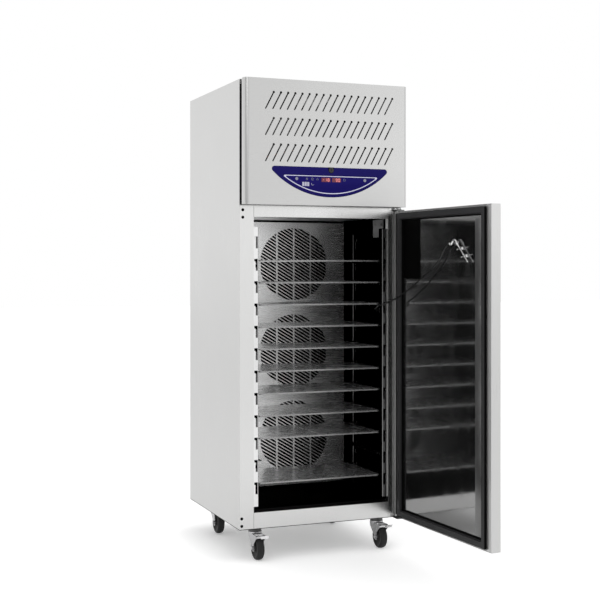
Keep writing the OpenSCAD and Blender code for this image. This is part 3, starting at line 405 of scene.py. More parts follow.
class Paint(Nodes):
    """One material while it is built."""

    def __init__(self, name, base, metallic=0.0, roughness=0.5):
        self.material = bpy.data.materials.new(name)
        self.material.use_nodes = True
        super().__init__(self.material.node_tree)
        self.shader = self.tree.nodes["Principled BSDF"]
        self.sockets(
            self.shader,
            {"Base Color": (*base, 1.0), "Metallic": metallic, "Roughness": roughness},
        )
        self.place = self.node("ShaderNodeTexCoord", output="Object")

    def noise(self, scale, stretch=(1.0, 1.0, 1.0), detail=3.0):
        """Noise on object coordinates, stretched along one way for a grain."""
        spot = self.node(
            "ShaderNodeMapping", None, {"Vector": self.place, "Scale": stretch}
        )
        return self.node(
            "ShaderNodeTexNoise", None, {"Vector": spot, "Scale": scale, "Detail": detail}
        )

    def bump(self, height, strength, distance):
        """Relief from a height."""
        relief = self.node(
            "ShaderNodeBump",
            None,
            {"Height": height, "Strength": strength, "Distance": distance},
        )
        self.sockets(self.shader, {"Normal": relief})

    def finish(self, **values):
        """Sets the shader's own sockets, named with underscores, and returns the material."""
        self.sockets(self.shader, {k.replace("_", " "): v for k, v in values.items()})
        return self.material


GRAINS = {"x": (0.01, 1.0, 1.0), "y": (1.0, 0.01, 1.0), "z": (1.0, 1.0, 0.01)}


def shade(tone, factor):
    """A colour made lighter or darker."""
    return tuple(min(1.0, c * factor) for c in tone)


def brushed_sheet(name, tone, roughness, grain="z", contrast=0.06, metallic=1.0):
    """Brushed stainless sheet: fine parallel scratches, faint handling marks."""
    paint = Paint(name, tone, metallic, roughness)
    scratch = paint.noise(1500.0, GRAINS[grain], 2.0)
    marks = paint.noise(3.5)
    paint.bump(scratch, 0.06, 0.0002)
    return paint.finish(
        Base_Color=paint.blend(scratch, shade(tone, 1.0 - contrast), shade(tone, 1.0 + contrast)),
        Roughness=roughness + (scratch - 0.5) * 0.10 + (marks - 0.5) * 0.10,
    )


def polished_sheet(name, tone, roughness, rim=(1.0, 1.0, 1.0), metallic=1.0):
    """Bright annealed sheet: almost a mirror, with slight waviness and smudges. rim is its
    tint where it is seen along the surface."""
    paint = Paint(name, tone, metallic, roughness)
    wave = paint.noise(6.0, detail=2.0)
    smudge = paint.spread(paint.noise(14.0, (1.0, 1.0, 0.4), 4.0), 0.45, 0.75)
    fine = paint.noise(520.0, GRAINS["x"], 2.0)
    paint.bump(wave, 0.15, 0.002)
    return paint.finish(
        Base_Color=paint.blend(fine, shade(tone, 0.96), shade(tone, 1.03)),
        Roughness=roughness + smudge * 0.10 + (fine - 0.5) * 0.06,
        Specular_Tint=(*rim, 1.0),
    )


def rack_sheet(name, front, rear, roughness):
    """Channel sheet with upright drawing lines, painted from a bright front tone to a darker rear
    tone: painted shade deeper in the cabinet.
    """
    paint = Paint(name, front, 1.0, roughness)
    depth = paint.node("ShaderNodeSeparateXYZ", None, {"Vector": paint.place}, output="Y")
    lines = paint.noise(900.0, GRAINS["z"], 2.0)
    paint.bump(lines, 0.05, 0.0002)
    return paint.finish(
        # Painted shade: the colour falls from the front tone to the darker rear tone with depth into
        # the cabinet
        Base_Color=paint.blend(paint.spread(depth, -0.25, -0.08), front, rear),
        Roughness=roughness + (lines - 0.5) * 0.08,
        Specular_Tint=(0.5, 0.5, 0.5, 1.0),
    )


def shelf_plate(name, tone, edge, roughness, front):
    """Polished shelf sheet whose rolled front edge, at the Y plane front, is painted in a darker
    edge tone: painted shade on the edge.
    """
    paint = Paint(name, tone, 0.92, roughness)
    depth = paint.node("ShaderNodeSeparateXYZ", None, {"Vector": paint.place}, output="Y")
    smudge = paint.spread(paint.noise(14.0, (1.0, 1.0, 0.4), 4.0), 0.45, 0.75)
    fine = paint.noise(520.0, GRAINS["x"], 2.0)
    paint.bump(fine, 0.05, 0.0002)
    return paint.finish(
        # Painted shade: the front edge takes the darker edge tone
        Base_Color=paint.blend(paint.spread(depth, front + 0.0006, front + 0.004), edge, tone),
        Roughness=roughness + smudge * 0.08 + (fine - 0.5) * 0.05,
    )


def zinc_plate(name, tone, roughness):
    """Bright zinc on pressed steel: a faint mottle of crystals and duller patches."""
    paint = Paint(name, tone, 1.0, roughness)
    mottle = paint.noise(160.0, detail=2.0)
    dull = paint.noise(24.0)
    paint.bump(mottle, 0.10, 0.0005)
    return paint.finish(
        Base_Color=paint.blend(mottle, shade(tone, 0.88), shade(tone, 1.05)),
        Roughness=roughness + (dull - 0.5) * 0.25,
    )


def moulding(name, tone, roughness, texture=0.0004, gloss=0.25):
    """Moulded plastic: fine spark texture and a slight drift of colour."""
    paint = Paint(name, tone, 0.0, roughness)
    spark = paint.noise(1400.0, detail=2.0)
    drift = paint.noise(9.0)
    paint.bump(spark, 0.2, texture)
    return paint.finish(
        Base_Color=paint.blend(drift, shade(tone, 0.9), shade(tone, 1.1)),
        Roughness=roughness + (drift - 0.5) * 0.1,
        Specular_IOR_Level=gloss,
    )


def soft_rubber(name, tone, roughness, bloom=1.5, gloss=0.3):
    """Rubber: matt skin, with a paler bloom where it is handled."""
    paint = Paint(name, tone, 0.0, roughness)
    pores = paint.noise(900.0, detail=2.0)
    haze = paint.spread(paint.noise(22.0, detail=4.0), 0.45, 0.8)
    paint.bump(pores, 0.25, 0.0003)
    return paint.finish(
        Base_Color=paint.blend(haze, tone, shade(tone, bloom)),
        Roughness=roughness + haze * 0.12,
        Specular_IOR_Level=gloss,
    )


def enamel(name, tone, roughness, gloss=0.5):
    """Baked enamel: slight orange peel."""
    paint = Paint(name, tone, 0.0, roughness)
    peel = paint.noise(240.0, detail=2.0)
    dust = paint.spread(paint.noise(7.0, detail=4.0), 0.5, 0.9)
    paint.bump(peel, 0.15, 0.0006)
    return paint.finish(
        Base_Color=paint.blend(dust, tone, shade(tone, 1.5)),
        Roughness=roughness + dust * 0.2,
        Specular_IOR_Level=gloss,
    )


def fins(name, tone, roughness):
    """Bare aluminium fins: dull drift from handling and a little dust."""
    paint = Paint(name, tone, 1.0, roughness)
    drift = paint.noise(30.0, detail=4.0)
    return paint.finish(
        Base_Color=paint.blend(drift, shade(tone, 0.8), tone),
        Roughness=roughness + (drift - 0.5) * 0.3,
    )


def foam(name, tone, roughness):
    """Rigid foam: open pores."""
    paint = Paint(name, tone, 0.0, roughness)
    pores = paint.noise(600.0, detail=4.0)
    paint.bump(pores, 0.5, 0.001)
    return paint.finish(
        Base_Color=paint.blend(pores, shade(tone, 0.85), shade(tone, 1.1))
    )


def lit_glass(name, tone, glow):
    """A lit display: red tinted cover with a faint glow of its own."""
    paint = Paint(name, tone, 0.0, 0.25)
    drift = paint.noise(200.0, detail=2.0)
    return paint.finish(
        Base_Color=paint.blend(drift, shade(tone, 0.9), tone),
        Emission_Color=(*tone, 1.0),
        Emission_Strength=glow,
        Roughness=0.22 + drift * 0.06,
    )


def wear(node, material):
    """Gives a CAD node its finish."""
    piece = CAD[node]
    if piece.material_slots:
        piece.material_slots[0].material = material
    else:
        piece.data.materials.append(material)


def dress(made, body, material):
    """Finishes a new piece and lets it ride on its body."""
    made.data.materials.clear()
    made.data.materials.append(material)
    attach(made, body)
    return made


# ---------------------------------------------------------------------------
# Sizes and colours a user would change
# ---------------------------------------------------------------------------


def colour(name, text, default):
    """A colour property."""
    return FloatVectorProperty(
        name=name, description=text, default=default, subtype="COLOR", min=0.0, max=1.0
    )


def share(name, text, default):
    """A number from 0 to 1."""
    return FloatProperty(
        name=name, description=text, default=default, min=0.0, max=1.0, subtype="FACTOR"
    )


def level(name, text, default):
    """A number from 0 upwards."""
    return FloatProperty(name=name, description=text, default=default, min=0.0)


class ChillerFinishes(bpy.types.PropertyGroup):
    """Colours and blur of the sheets and mouldings."""

    sheet: colour("Sheet", "Brushed stainless sheet", (0.66, 0.66, 0.655))
    bright: colour("Bright sheet", "Polished inner sheet", (0.60, 0.60, 0.60))
    moulding: colour("Moulding", "Control moulding", (0.010, 0.007, 0.115))
    ink: colour("Ink", "White print on the control face", (0.70, 0.70, 0.86))
    display: colour("Display", "Lit display windows", (0.12, 0.016, 0.036))
    seal: colour("Seal", "Door seal", (0.020, 0.020, 0.021))
    tyre: colour("Tyre", "Castor tyres", (0.016, 0.016, 0.016))
    sheet_roughness: share("Sheet roughness", "Blur of the brushed sheet", 0.30)
    bright_roughness: share("Bright roughness", "Blur of the polished sheet", 0.16)


class ChillerProbe(bpy.types.PropertyGroup):
    """Sizes of the probe lead."""

    lead_diameter: FloatProperty(
        name="Lead", description="Diameter of the probe lead",
        default=0.0070, min=0.003, max=0.008, unit="LENGTH",
    )
    lead_sides: IntProperty(
        name="Lead sides", description="Sides of the lead's tube", default=14, min=8, max=32
    )


class ChillerStudio(bpy.types.PropertyGroup):
    """Light and camera."""

    world_level: level("World", "Level of the surrounding light", 0.85)
    lamp_level: level("Lamps", "Power of the soft lamps", 22.0)
    floor_lift: level("Floor lift", "How far the seen floor is lifted to white", 0.42)
    mirror_lift: share("Mirror lift", "Share of the floor lift that mirrors see", 0.3)
    # Strength of the shadow pool painted on the floor under the cabinet
    pool: share("Shadow pool", "How much of the lift is held back under the cabinet", 0.5)
    room_dusk: share("Room dusk", "How dark mirrors see the room's darker side", 0.65)
    overhead_dusk: share("Overhead dusk", "How dark mirrors see the room overhead", 0.45)
    dusk_way: FloatVectorProperty(
        name="Dusk way", description="Direction of the room's darker side, seen in mirrors",
        default=(-0.69, -0.724, 0.0), subtype="DIRECTION",
    )
    lens: level("Lens", "Focal length in millimetres", 70.35)


# ---------------------------------------------------------------------------
# Pieces
# ---------------------------------------------------------------------------


class CHILLER_OT_cabinet(bpy.types.Operator):
    """Finishes the case, frame, liner, decks and the refrigeration unit"""

    bl_idname = "chiller.cabinet"
    bl_label = "Cabinet"

    def execute(self, context):
        group = context.scene.chiller_finishes
        sheet, bright = tuple(group.sheet), tuple(group.bright)
        rough, shine = group.sheet_roughness, group.bright_roughness
        finishes = {
            "outer_case": brushed_sheet("upright grain sheet", sheet, rough, "z"),
            "roof_panel base_pan": brushed_sheet("level grain sheet", sheet, rough, "x"),
            "unit_panel": brushed_sheet("unit panel sheet", shade(sheet, 0.94), rough, "x"),
            "air_panel drip_tray": brushed_sheet(
                "inner sheet", shade(bright, 1.6), 0.26, "x", 0.02, 0.85
            ),
            "front_frame": brushed_sheet("frame sheet", shade(sheet, 1.15), 0.22, "z"),
            # Painted shade: the steel liner is near black with a black rim, standing in for the
            # shaded interior
            "inner_liner": polished_sheet(
                "liner sheet", shade(bright, 0.008), shine + 0.04, (0.0, 0.0, 0.0)
            ),
            # Painted shade: the steel runners are darkened far below bright steel, with a dark rim,
            # for the shade inside the cabinet
            "shelf_runners": polished_sheet(
                "painted shade runner sheet", shade(bright, 0.10), 0.20, (0.1, 0.1, 0.1)
            ),
            # The condenser fins are given a near-black tone, so the coil reads dark through the
            # louvres
            "condenser_coil": fins("near-black fins", (0.03, 0.03, 0.032), 0.5),
            # Painted shade: the evaporator's aluminium fins are made near black, for the shade
            # behind the air panel
            "evaporator_coil": fins("painted shade cold fins", (0.004, 0.004, 0.004), 0.6),
            "refrigerant_pipes": fins("drawn copper", (0.62, 0.30, 0.18), 0.3),
            # Painted shade on the unit frame: near black, filling the shadow gap behind the unit
            # panel; on the condenser fan motor it is the motor's own dark enamel
            "unit_frame condenser_fan_motor": enamel(
                "dark enamel", (0.010, 0.010, 0.011), 0.45, 0.2
            ),
            "evaporator_motors": enamel("cold enamel", (0.0015, 0.0015, 0.0015), 0.6, 0.03),
            "electrical_box": enamel("grey enamel", (0.30, 0.30, 0.30), 0.4),
            "compressor panel_lock": enamel("black enamel", (0.012, 0.012, 0.013), 0.25),
            "condenser_fan evaporator_fan_top evaporator_fan_middle evaporator_fan_bottom": moulding(
                "fan moulding", (0.0015, 0.0015, 0.0015), 0.6, gloss=0.03
            ),
            "controller_box cable_gland": moulding("housing", (0.03, 0.03, 0.032), 0.5),
            "cabinet_foam door_foam": foam("rigid foam", (0.70, 0.60, 0.28), 0.8),
            # Painted shade: the zinc castor plates are darkened far below zinc, for the shade under
            # the case
            "castor_plates": zinc_plate("shaded castor plate zinc", (0.10, 0.10, 0.10), 0.40),
            "hinge_brackets": zinc_plate("bracket zinc", (0.16, 0.16, 0.16), 0.22),
        }
        for nodes, material in finishes.items():
            for node in nodes.split():
                wear(node, material)
        return {"FINISHED"}


class CHILLER_OT_fittings(bpy.types.Operator):
    """Makes the stile plugs, joint lines, wall hooks, ceiling sheet, base edge, rivets and hinge
    bolts"""

    bl_idname = "chiller.fittings"
    bl_label = "Fittings"

    def execute(self, context):
        black = moulding("plug moulding", (0.002, 0.002, 0.002), 0.5, gloss=0.05)
        plug = [
            (1e-5, -0.0022), (0.0036, -0.0021), (0.0057, -0.0015), (0.0064, -0.0006),
            (0.0065, 0.0004), (1e-5, 0.0004),
        ]
        places = ((-0.3605, 1.471), (-0.3605, 1.440), (-0.365, 0.183), (-0.365, 0.152))
        plugs = [
            turned(f"plug {k}", plug, (x, FRONT_Y, z), "y", 32) for k, (x, z) in enumerate(places)
        ]
        dress(joined("stile_plugs", plugs), "cabinet", black)

        # Joint lines where the rails butt against the stiles
        rail, sill = (RAIL_LOW, FRAME_HIGH.z - 0.0005), (FRAME_LOW.z + 0.0005, SILL_HIGH)
        seams = [
            slab(f"seam {x} {low}", round_corners(x - 0.0005, x + 0.0005, low, high, 0.0002, 2),
                 FRONT_Y - 0.0002, FRONT_Y + 0.0002)
            for low, high in (rail, sill)
            for x in (-OPENING_X, OPENING_X)
        ]
        shadow = enamel("joint shadow", (0.05, 0.05, 0.05), 0.6)
        dress(joined("frame_joints", seams), "cabinet", shadow)

        # Pressed hooks on both side walls, at the top of the front channels
        hook = [
            (-0.318, 1.403), (-0.271, 1.403), (-0.271, 1.364), (-0.214, 1.364),
            (-0.214, 1.442), (-0.318, 1.442),
        ]
        hooks = []
        for side in WAYS:
            near, far = side * (OPENING_X - 0.0036), side * (OPENING_X - 0.0018)
            hooks.append(prism(f"hook {side}", hook, (near, far), [2, 0, 1]))
            hooks += [
                bolt(f"hook bolt {side} {y}", (near, y, 1.422), "x", 0.0050, -side)
                for y in (-0.300, -0.234)
            ]
        hook_sheet = brushed_sheet("hook sheet", (0.20, 0.20, 0.20), 0.35, "y")
        dress(joined("wall_hooks", hooks), "cabinet", hook_sheet)

        # Bright sheet under the liner's ceiling
        across, near, far = OPENING_X - 0.008, FRONT_Y + 0.0255, AIR_PANEL_Y - 0.0035
        ceiling = post(
            "ceiling_sheet", [(-across, near), (across, near), (across, far), (-across, far)],
            CEILING_Z - 0.0010, CEILING_Z,
        )
        bright = tuple(context.scene.chiller_finishes.bright)
        ceiling_steel = brushed_sheet("ceiling steel", shade(bright, 1.4), 0.3, "x")
        dress(ceiling, "cabinet", ceiling_steel)
        # Painted shade: a black strip along the air panel's top, standing in for the shadow gap
        # under the ceiling
        seam = slab(
            "ceiling_gap_shade",
            round_corners(-across, across, CEILING_Z - 0.0098, CEILING_Z - 0.0012, 0.001, 3),
            AIR_PANEL_Y - 0.0014, AIR_PANEL_Y - 0.0002,
        )
        gap_shade_rubber = soft_rubber("gap shade rubber", (0.002, 0.002, 0.002), 0.7, 1.3, 0.02)
        dress(seam, "cabinet", gap_shade_rubber)

        # Shadow gap under the case: a thin dark frame, set in a little from the sheets
        x0, x1 = CASE_LOW.x + 0.0005, CASE_HIGH.x - 0.0005
        y0, y1 = FRONT_Y + 0.0006, CASE_HIGH.y - 0.0010
        wide, clear = 0.0020, 0.0021
        strips = (
            (x0, x0 + wide, y0, y1), (x1 - wide, x1, y0, y1),
            (x0 + clear, x1 - clear, y0, y0 + wide), (x0 + clear, x1 - clear, y1 - wide, y1),
        )
        edge = [
            post(f"edge {k}", [(a, c), (b, c), (b, d), (a, d)],
                 CASE_LOW.z - 0.0028, CASE_LOW.z - 0.0002)
            for k, (a, b, c, d) in enumerate(strips)
        ]
        edge_shadow = enamel("edge shadow", (0.02, 0.02, 0.02), 0.6, 0.1)
        dress(joined("base_edge", edge), "cabinet", edge_shadow)

        # Domed rivets round the back sheet
        dome = [(1e-5, 0.0012), (0.0016, 0.0011), (0.0030, 0.0007), (0.0036, -0.0002),
                (1e-5, -0.0002)]
        rear = [(x, z) for x in (-0.3625, 0.3625) for z in np.linspace(0.160, 1.985, 7)]
        rear += [(x, z) for x in (-0.18, 0.0, 0.18) for z in (0.149, 1.997)]
        rivets = [
            turned(f"rivet {k}", dome, (x, CASE_HIGH.y, z), "y", 20) for k, (x, z) in enumerate(rear)
        ]
        rivet_steel = zinc_plate("rivet steel", (0.62, 0.62, 0.62), 0.25)
        dress(joined("rear_rivets", rivets), "cabinet", rivet_steel)

        # Bolts of the upper hinge bracket, heads to the front
        zinc = zinc_plate("bolt zinc", (0.90, 0.90, 0.91), 0.12)
        bolt_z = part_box("hinge_brackets")[1].z - 0.008
        heads = [
            bolt(f"hinge bolt {x}", (x, FRONT_Y - 0.003, bolt_z), "y", 0.0055, -1)
            for x in (HINGE_X - 0.010, HINGE_X + 0.009)
        ]
        dress(joined("hinge_bolts", heads), "cabinet", zinc)
        return {"FINISHED"}


class CHILLER_OT_racking(bpy.types.Operator):
    """Makes the four slotted channels: pierced faces with a round bend, plain legs and studs"""

    bl_idname = "chiller.racking"
    bl_label = "Racking"

    def face(self, name, side, y, high):
        """Front of a channel: one keyhole slot for each level, its head above its throat, then
        the bend. The cells of the plate end at the wall, at the head's and the throat's edges and
        at the bend."""
        turn_x, turn_y = RACK_IN + RACK_BEND, y + RACK_BEND
        xs = side * np.array([RACK_OUT, RACK_OUT - 0.0053, RACK_OUT - 0.0103, RACK_OUT - 0.0201,
                              turn_x])
        tops = LEVEL_TOP + 0.005 + LEVEL_PITCH * np.arange(-10, 2)
        tops = tops[tops < high]
        slots = np.column_stack([tops - 0.050, tops - 0.011, tops]).ravel()
        zs = np.concatenate([[RACK_LOW], slots, [high]])
        kept = np.ones((4, len(zs) - 1), bool)
        kept[2, 1::3] = False
        kept[1:3, 2::3] = False
        kept[:, -1] = True
        plate = pierced(f"{name} plate", xs, zs, kept, y, y + RACK_THICK)
        outer = arc(turn_x, turn_y, RACK_BEND, 180, 270, 7)
        inner = arc(turn_x, turn_y, RACK_BEND - RACK_THICK, 180, 270, 7)
        outline = np.vstack([outer[::-1], inner]) * (side, 1.0)
        return [plate, post(f"{name} bend", outline, RACK_LOW, high)]

    def leg(self, name, side, y, high):
        """Side of a channel, with the two studs that hold it off the wall."""
        a, b = side * RACK_IN, side * (RACK_IN + RACK_THICK)
        outline = [(a, y + 0.0031), (b, y + 0.0031), (b, y + 0.025), (a, y + 0.025)]
        stud = [(1e-5, 0.0), (0.0070, 0.0), (0.0070, 0.0228), (1e-5, 0.0228)]
        return [post(f"{name} leg", outline, RACK_LOW, high, 0.0003)] + [
            turned(f"{name} stud {z}", [(r, side * h) for r, h in stud],
                   (side * (RACK_IN + 0.002), y + 0.0125, z), "x", 32)
            for z in (LEVEL_TOP - 0.025, LEVEL_TOP - 0.025 - 9 * LEVEL_PITCH)
        ]

    def execute(self, context):
        bright = tuple(context.scene.chiller_finishes.bright)
        # Painted light and shade: the left channels get a lighter front tone and the right ones a
        # darker one, lit and shaded copies of one sheet
        painted_front_light = {"left": 1.4, "right": 0.4}
        legs = []
        for side, way in WAYS.items():
            faces = []
            for y, high in ((FRONT_Y + 0.008, 1.400), (-0.041, 1.380)):
                faces += self.face(f"channel {side} {y}", side, y, high)
                legs += self.leg(f"channel {side} {y}", side, y, high)
            channels = joined(f"rack_channels_{way}", faces)
            rack = rack_sheet(
                f"painted shade rack sheet {way}", shade(bright, painted_front_light[way]), shade(bright, 0.3), 0.12
            )
            dress(channels, "cabinet", rack)
            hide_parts("rack_uprights")
        # Painted shade: the channel legs and studs are near black with a black rim, standing in for
        # the dark interior they mirror
        side_sheet = polished_sheet("channel side painted shade", shade(bright, 0.01), 0.35, (0.0, 0.0, 0.0))
        dress(joined("rack_legs", legs), "cabinet", side_sheet)
        return {"FINISHED"}


class CHILLER_OT_shelves(bpy.types.Operator):
    """Finishes the ten sheet shelves"""

    bl_idname = "chiller.shelves"
    bl_label = "Shelves"

    def execute(self, context):
        group = context.scene.chiller_finishes
        bright = tuple(group.bright)
        # The second tone is the painted shade of the shelves' front edges
        plate = shelf_plate(
            "shelf sheet", shade(bright, 1.6), shade(bright, 0.55), 0.24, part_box("shelf_01")[0].y
        )
        for number in range(1, 11):
            wear(f"shelf_{number:02d}", plate)
        return {"FINISHED"}


def face_outline(inset, band, corner):
    """Outline of the control face: an arc x = r sin a, z = zc - r cos a below, round corners,
    and a level top. inset draws it in all round; band lowers the top edge only."""
    radius = FACE_ARC - inset
    corner_z = FACE_TOP - band - corner
    drop = FACE_ARC_Z - corner_z
    corner_x = math.sqrt((radius - corner) ** 2 - drop**2)
    lean = math.atan2(corner_x, drop)
    below = np.linspace(-lean, lean, 97)
    turn = np.linspace(lean - np.pi / 2, np.pi / 2, 12)
    arc = np.column_stack([radius * np.sin(below), FACE_ARC_Z - radius * np.cos(below)])
    right = np.column_stack(
        [corner_x + corner * np.cos(turn), corner_z + corner * np.sin(turn)]
    )
    left = right[::-1] * (-1.0, 1.0)
    top = np.column_stack(
        [np.linspace(corner_x, -corner_x, 42)[1:-1], np.full(40, FACE_TOP - band)]
    )
    return np.vstack([arc[1:-1], right, top, left]) + (FACE_X, 0.0)


def face_rings(rows):
    """Outlines of the control face, each row (inset, band, corner, y) on its own Y plane."""
    rings = []
    for inset, band, corner, y in rows:
        outline = face_outline(inset, band, corner)
        rings.append(np.column_stack([outline[:, 0], np.full(len(outline), y), outline[:, 1]]))
    return rings


def face_shell(name, rows):
    """A shell of nested outlines, each joined to the next, with both ends closed."""
    rings = face_rings(rows)
    return outward(mesh_piece(name, np.stack(rings), tube_faces(len(rings), len(rings[0]))))


# Bars of a seven-bar digit, and which of them light for each sign
BARS = {
    "a": ((-1, 2), (1, 2)), "b": ((1, 2), (1, 0)), "c": ((1, 0), (1, -2)),
    "d": ((-1, -2), (1, -2)), "e": ((-1, 0), (-1, -2)), "f": ((-1, 2), (-1, 0)),
    "g": ((-1, 0), (1, 0)),
}
LIT = {"0": "abcdef", "1": "bc", "8": "abcdefg", "9": "abcdfg", "-": "g"}


def digit_bars(sign, x, z, width, height, thick):
    """Outlines of a digit's lit bars, pointed at both ends."""
    shapes = []
    for bar in LIT[sign]:
        (x0, z0), (x1, z1) = BARS[bar]
        a = np.array([x + x0 * width / 2, z + z0 * height / 4])
        b = np.array([x + x1 * width / 2, z + z1 * height / 4])
        along = (b - a) / np.linalg.norm(b - a)
        side = np.array([-along[1], along[0]]) * thick / 2
        a, b = a + along * thick * 0.15, b - along * thick * 0.15
        tip = along * thick / 2
        shapes.append(np.array([a, a + tip + side, b - tip + side, b, b - tip - side,
                                a + tip - side]))
    return shapes


def prints(name, outlines, front, back):
    """Thin raised prints, one flat plate for each outline."""
    return joined(
        name, [slab(f"{name} {k}", shape, front, back) for k, shape in enumerate(outlines)]
    )


def spokes(x, z, radius, count, width, phase=0.0):
    """Printed lines through a centre."""
    ends = arc(x, z, radius, phase, phase + 360.0, 2 * count + 1)
    return [stroke([ends[k + count], ends[k]], width) for k in range(count)]


class CHILLER_OT_controls(bpy.types.Operator):
    """Makes the control moulding, its film with outline, displays and marks, and the lock"""

    bl_idname = "chiller.controls"
    bl_label = "Controls"

    def execute(self, context):
        group = context.scene.chiller_finishes
        tone, white = tuple(group.moulding), tuple(group.ink)

        # Rim: quarter ellipse from the panel up to the inner outline, then a step down
        lean = np.linspace(0.0, np.pi / 2, 12)
        rise = [
            (FACE_RIM * (1 - math.cos(a)), FACE_BAND * (1 - math.cos(a)) ** 1.5,
             FACE_CORNER + (0.004 - FACE_CORNER) * (1 - math.cos(a)),
             BEZEL_HIGH.y + (FACE_Y - BEZEL_HIGH.y) * math.sin(a))
            for a in lean
        ]
        step = [(FACE_RIM + 0.0002, FACE_BAND + 0.0002, 0.004, FACE_Y + 0.0012)]
        rim = face_shell("control_moulding", rise + step)
        dress(rim, "cabinet", moulding("control moulding", tone, 0.45, gloss=0.08))
        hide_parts("control_bezel")

        # Film: a flat plate with a fine round edge
        film = face_shell(
            "control_film",
            [
                (FACE_RIM + 0.0006, FACE_BAND + 0.0006, 0.004, FACE_Y + 0.0016),
                (FACE_RIM + 0.0006, FACE_BAND + 0.0006, 0.004, FACE_Y + 0.0004),
                (FACE_RIM + 0.0010, FACE_BAND + 0.0010, 0.004, FACE_Y + 0.0001),
            ],
        )
        film_paint = moulding("control film", shade(tone, 1.1), 0.5, gloss=0.06)
        dress(film, "cabinet", film_paint)
        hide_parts("control_panel")

        # Printed line round the film, raised a little
        outer = (FACE_RIM + 0.0008, FACE_BAND + 0.0008, 0.004)
        inner = (FACE_RIM + 0.0046, FACE_BAND + 0.0040, 0.003)
        low, top = FACE_Y + 0.0003, FACE_Y - 0.0002
        rings = face_rings([(*outer, low), (*outer, top), (*inner, top), (*inner, low)])
        faces = grid_faces(4, len(rings[0]), close_rows=True, close_columns=True)
        line = outward(mesh_piece("face_outline", np.stack(rings), faces, False))
        paint = moulding("white print", white, 0.5)
        dress(line, "cabinet", paint)

        # Displays: a lit window each, with room for three signs
        glass = lit_glass("display window", tuple(group.display), 0.35)
        glow = lit_glass("display digits", (0.85, 0.24, 0.24), 0.7)
        half, step = 0.0205, 0.0115
        for name, middle, text in (
            ("display_left", -0.014, "-18"), ("display_right", 0.0345, "90")
        ):
            outline = round_corners(
                middle - half, middle + half, KEY_Z - 0.011, KEY_Z + 0.007, 0.0012
            )
            window = slab(f"{name}_window", outline, FACE_Y - 0.0005, FACE_Y + 0.0003, 0.0002)
            dress(window, "cabinet", glass)
            first = middle + (2 - len(text)) * step
            bars = [
                bar
                for k, sign in enumerate(text)
                for bar in digit_bars(sign, first + k * step, KEY_Z - 0.002, 0.0064, 0.0116, 0.0017)
            ]
            digits = prints(f"{name}_digits", bars, FACE_Y - 0.0007, FACE_Y - 0.0004)
            dress(digits, "cabinet", glow)

        # Marks: a star, a ringed cross, a fan of three arcs and a dome over a line; under them
        # three level bars and an arc
        front, back = FACE_Y - 0.0002, FACE_Y + 0.0003
        marks = spokes(-0.1008, KEY_Z, 0.0056, 3, 0.0012, 90.0)
        marks += [stroke(arc(-0.0756, KEY_Z, 0.0052, 0, 345), 0.0011)]
        marks += spokes(-0.0756, KEY_Z, 0.0026, 2, 0.0011)
        for way in (90, 210, 330):
            hub = arc(-0.0525, KEY_Z, 0.0028, way, way, 1)[0]
            marks += [stroke(arc(*hub, 0.0022, way - 150, way + 60), 0.0011)]
        marks += [stroke(arc(0.071, KEY_Z - 0.001, 0.0048, -40, 220), 0.0011)]
        marks += spokes(0.071, KEY_Z - 0.0042, 0.0046, 1, 0.0011)
        faint = prints("face_marks", marks, front, back)
        dress(faint, "cabinet", moulding("faint print", shade(white, 0.36), 0.5))
        bar = [
            round_corners(x, x + 0.0094, KEY_Z - 0.030, KEY_Z - 0.013, 0.0008)
            for x in (-0.122, -0.1109, -0.0998)
        ]
        bar += [stroke(arc(-0.0745, KEY_Z - 0.020, 0.0056, 150, 320), 0.0014)]
        level = prints("level_marks", bar, front, back)
        dress(level, "cabinet", moulding("level print", shade(white, 0.75), 0.5))

        # Lock: a black housing in the notch of the top edge
        wide = 0.0125
        housing = np.vstack(
            [
                [(FACE_X + wide, FACE_TOP), (FACE_X - wide, FACE_TOP)],
                arc(FACE_X, FACE_TOP - wide, wide, 180, 360, 20),
            ]
        )
        made = slab("lock_housing", housing, FACE_Y - 0.0006, BEZEL_HIGH.y - 0.0002, 0.0008)
        lock_paint = moulding("lock housing", (0.004, 0.004, 0.005), 0.35, gloss=0.15)
        dress(made, "cabinet", lock_paint)

        pale = moulding("key moulding", shade(white, 0.42), 0.45)
        wear("start_key", pale)
        wear("stop_key", pale)
        return {"FINISHED"}


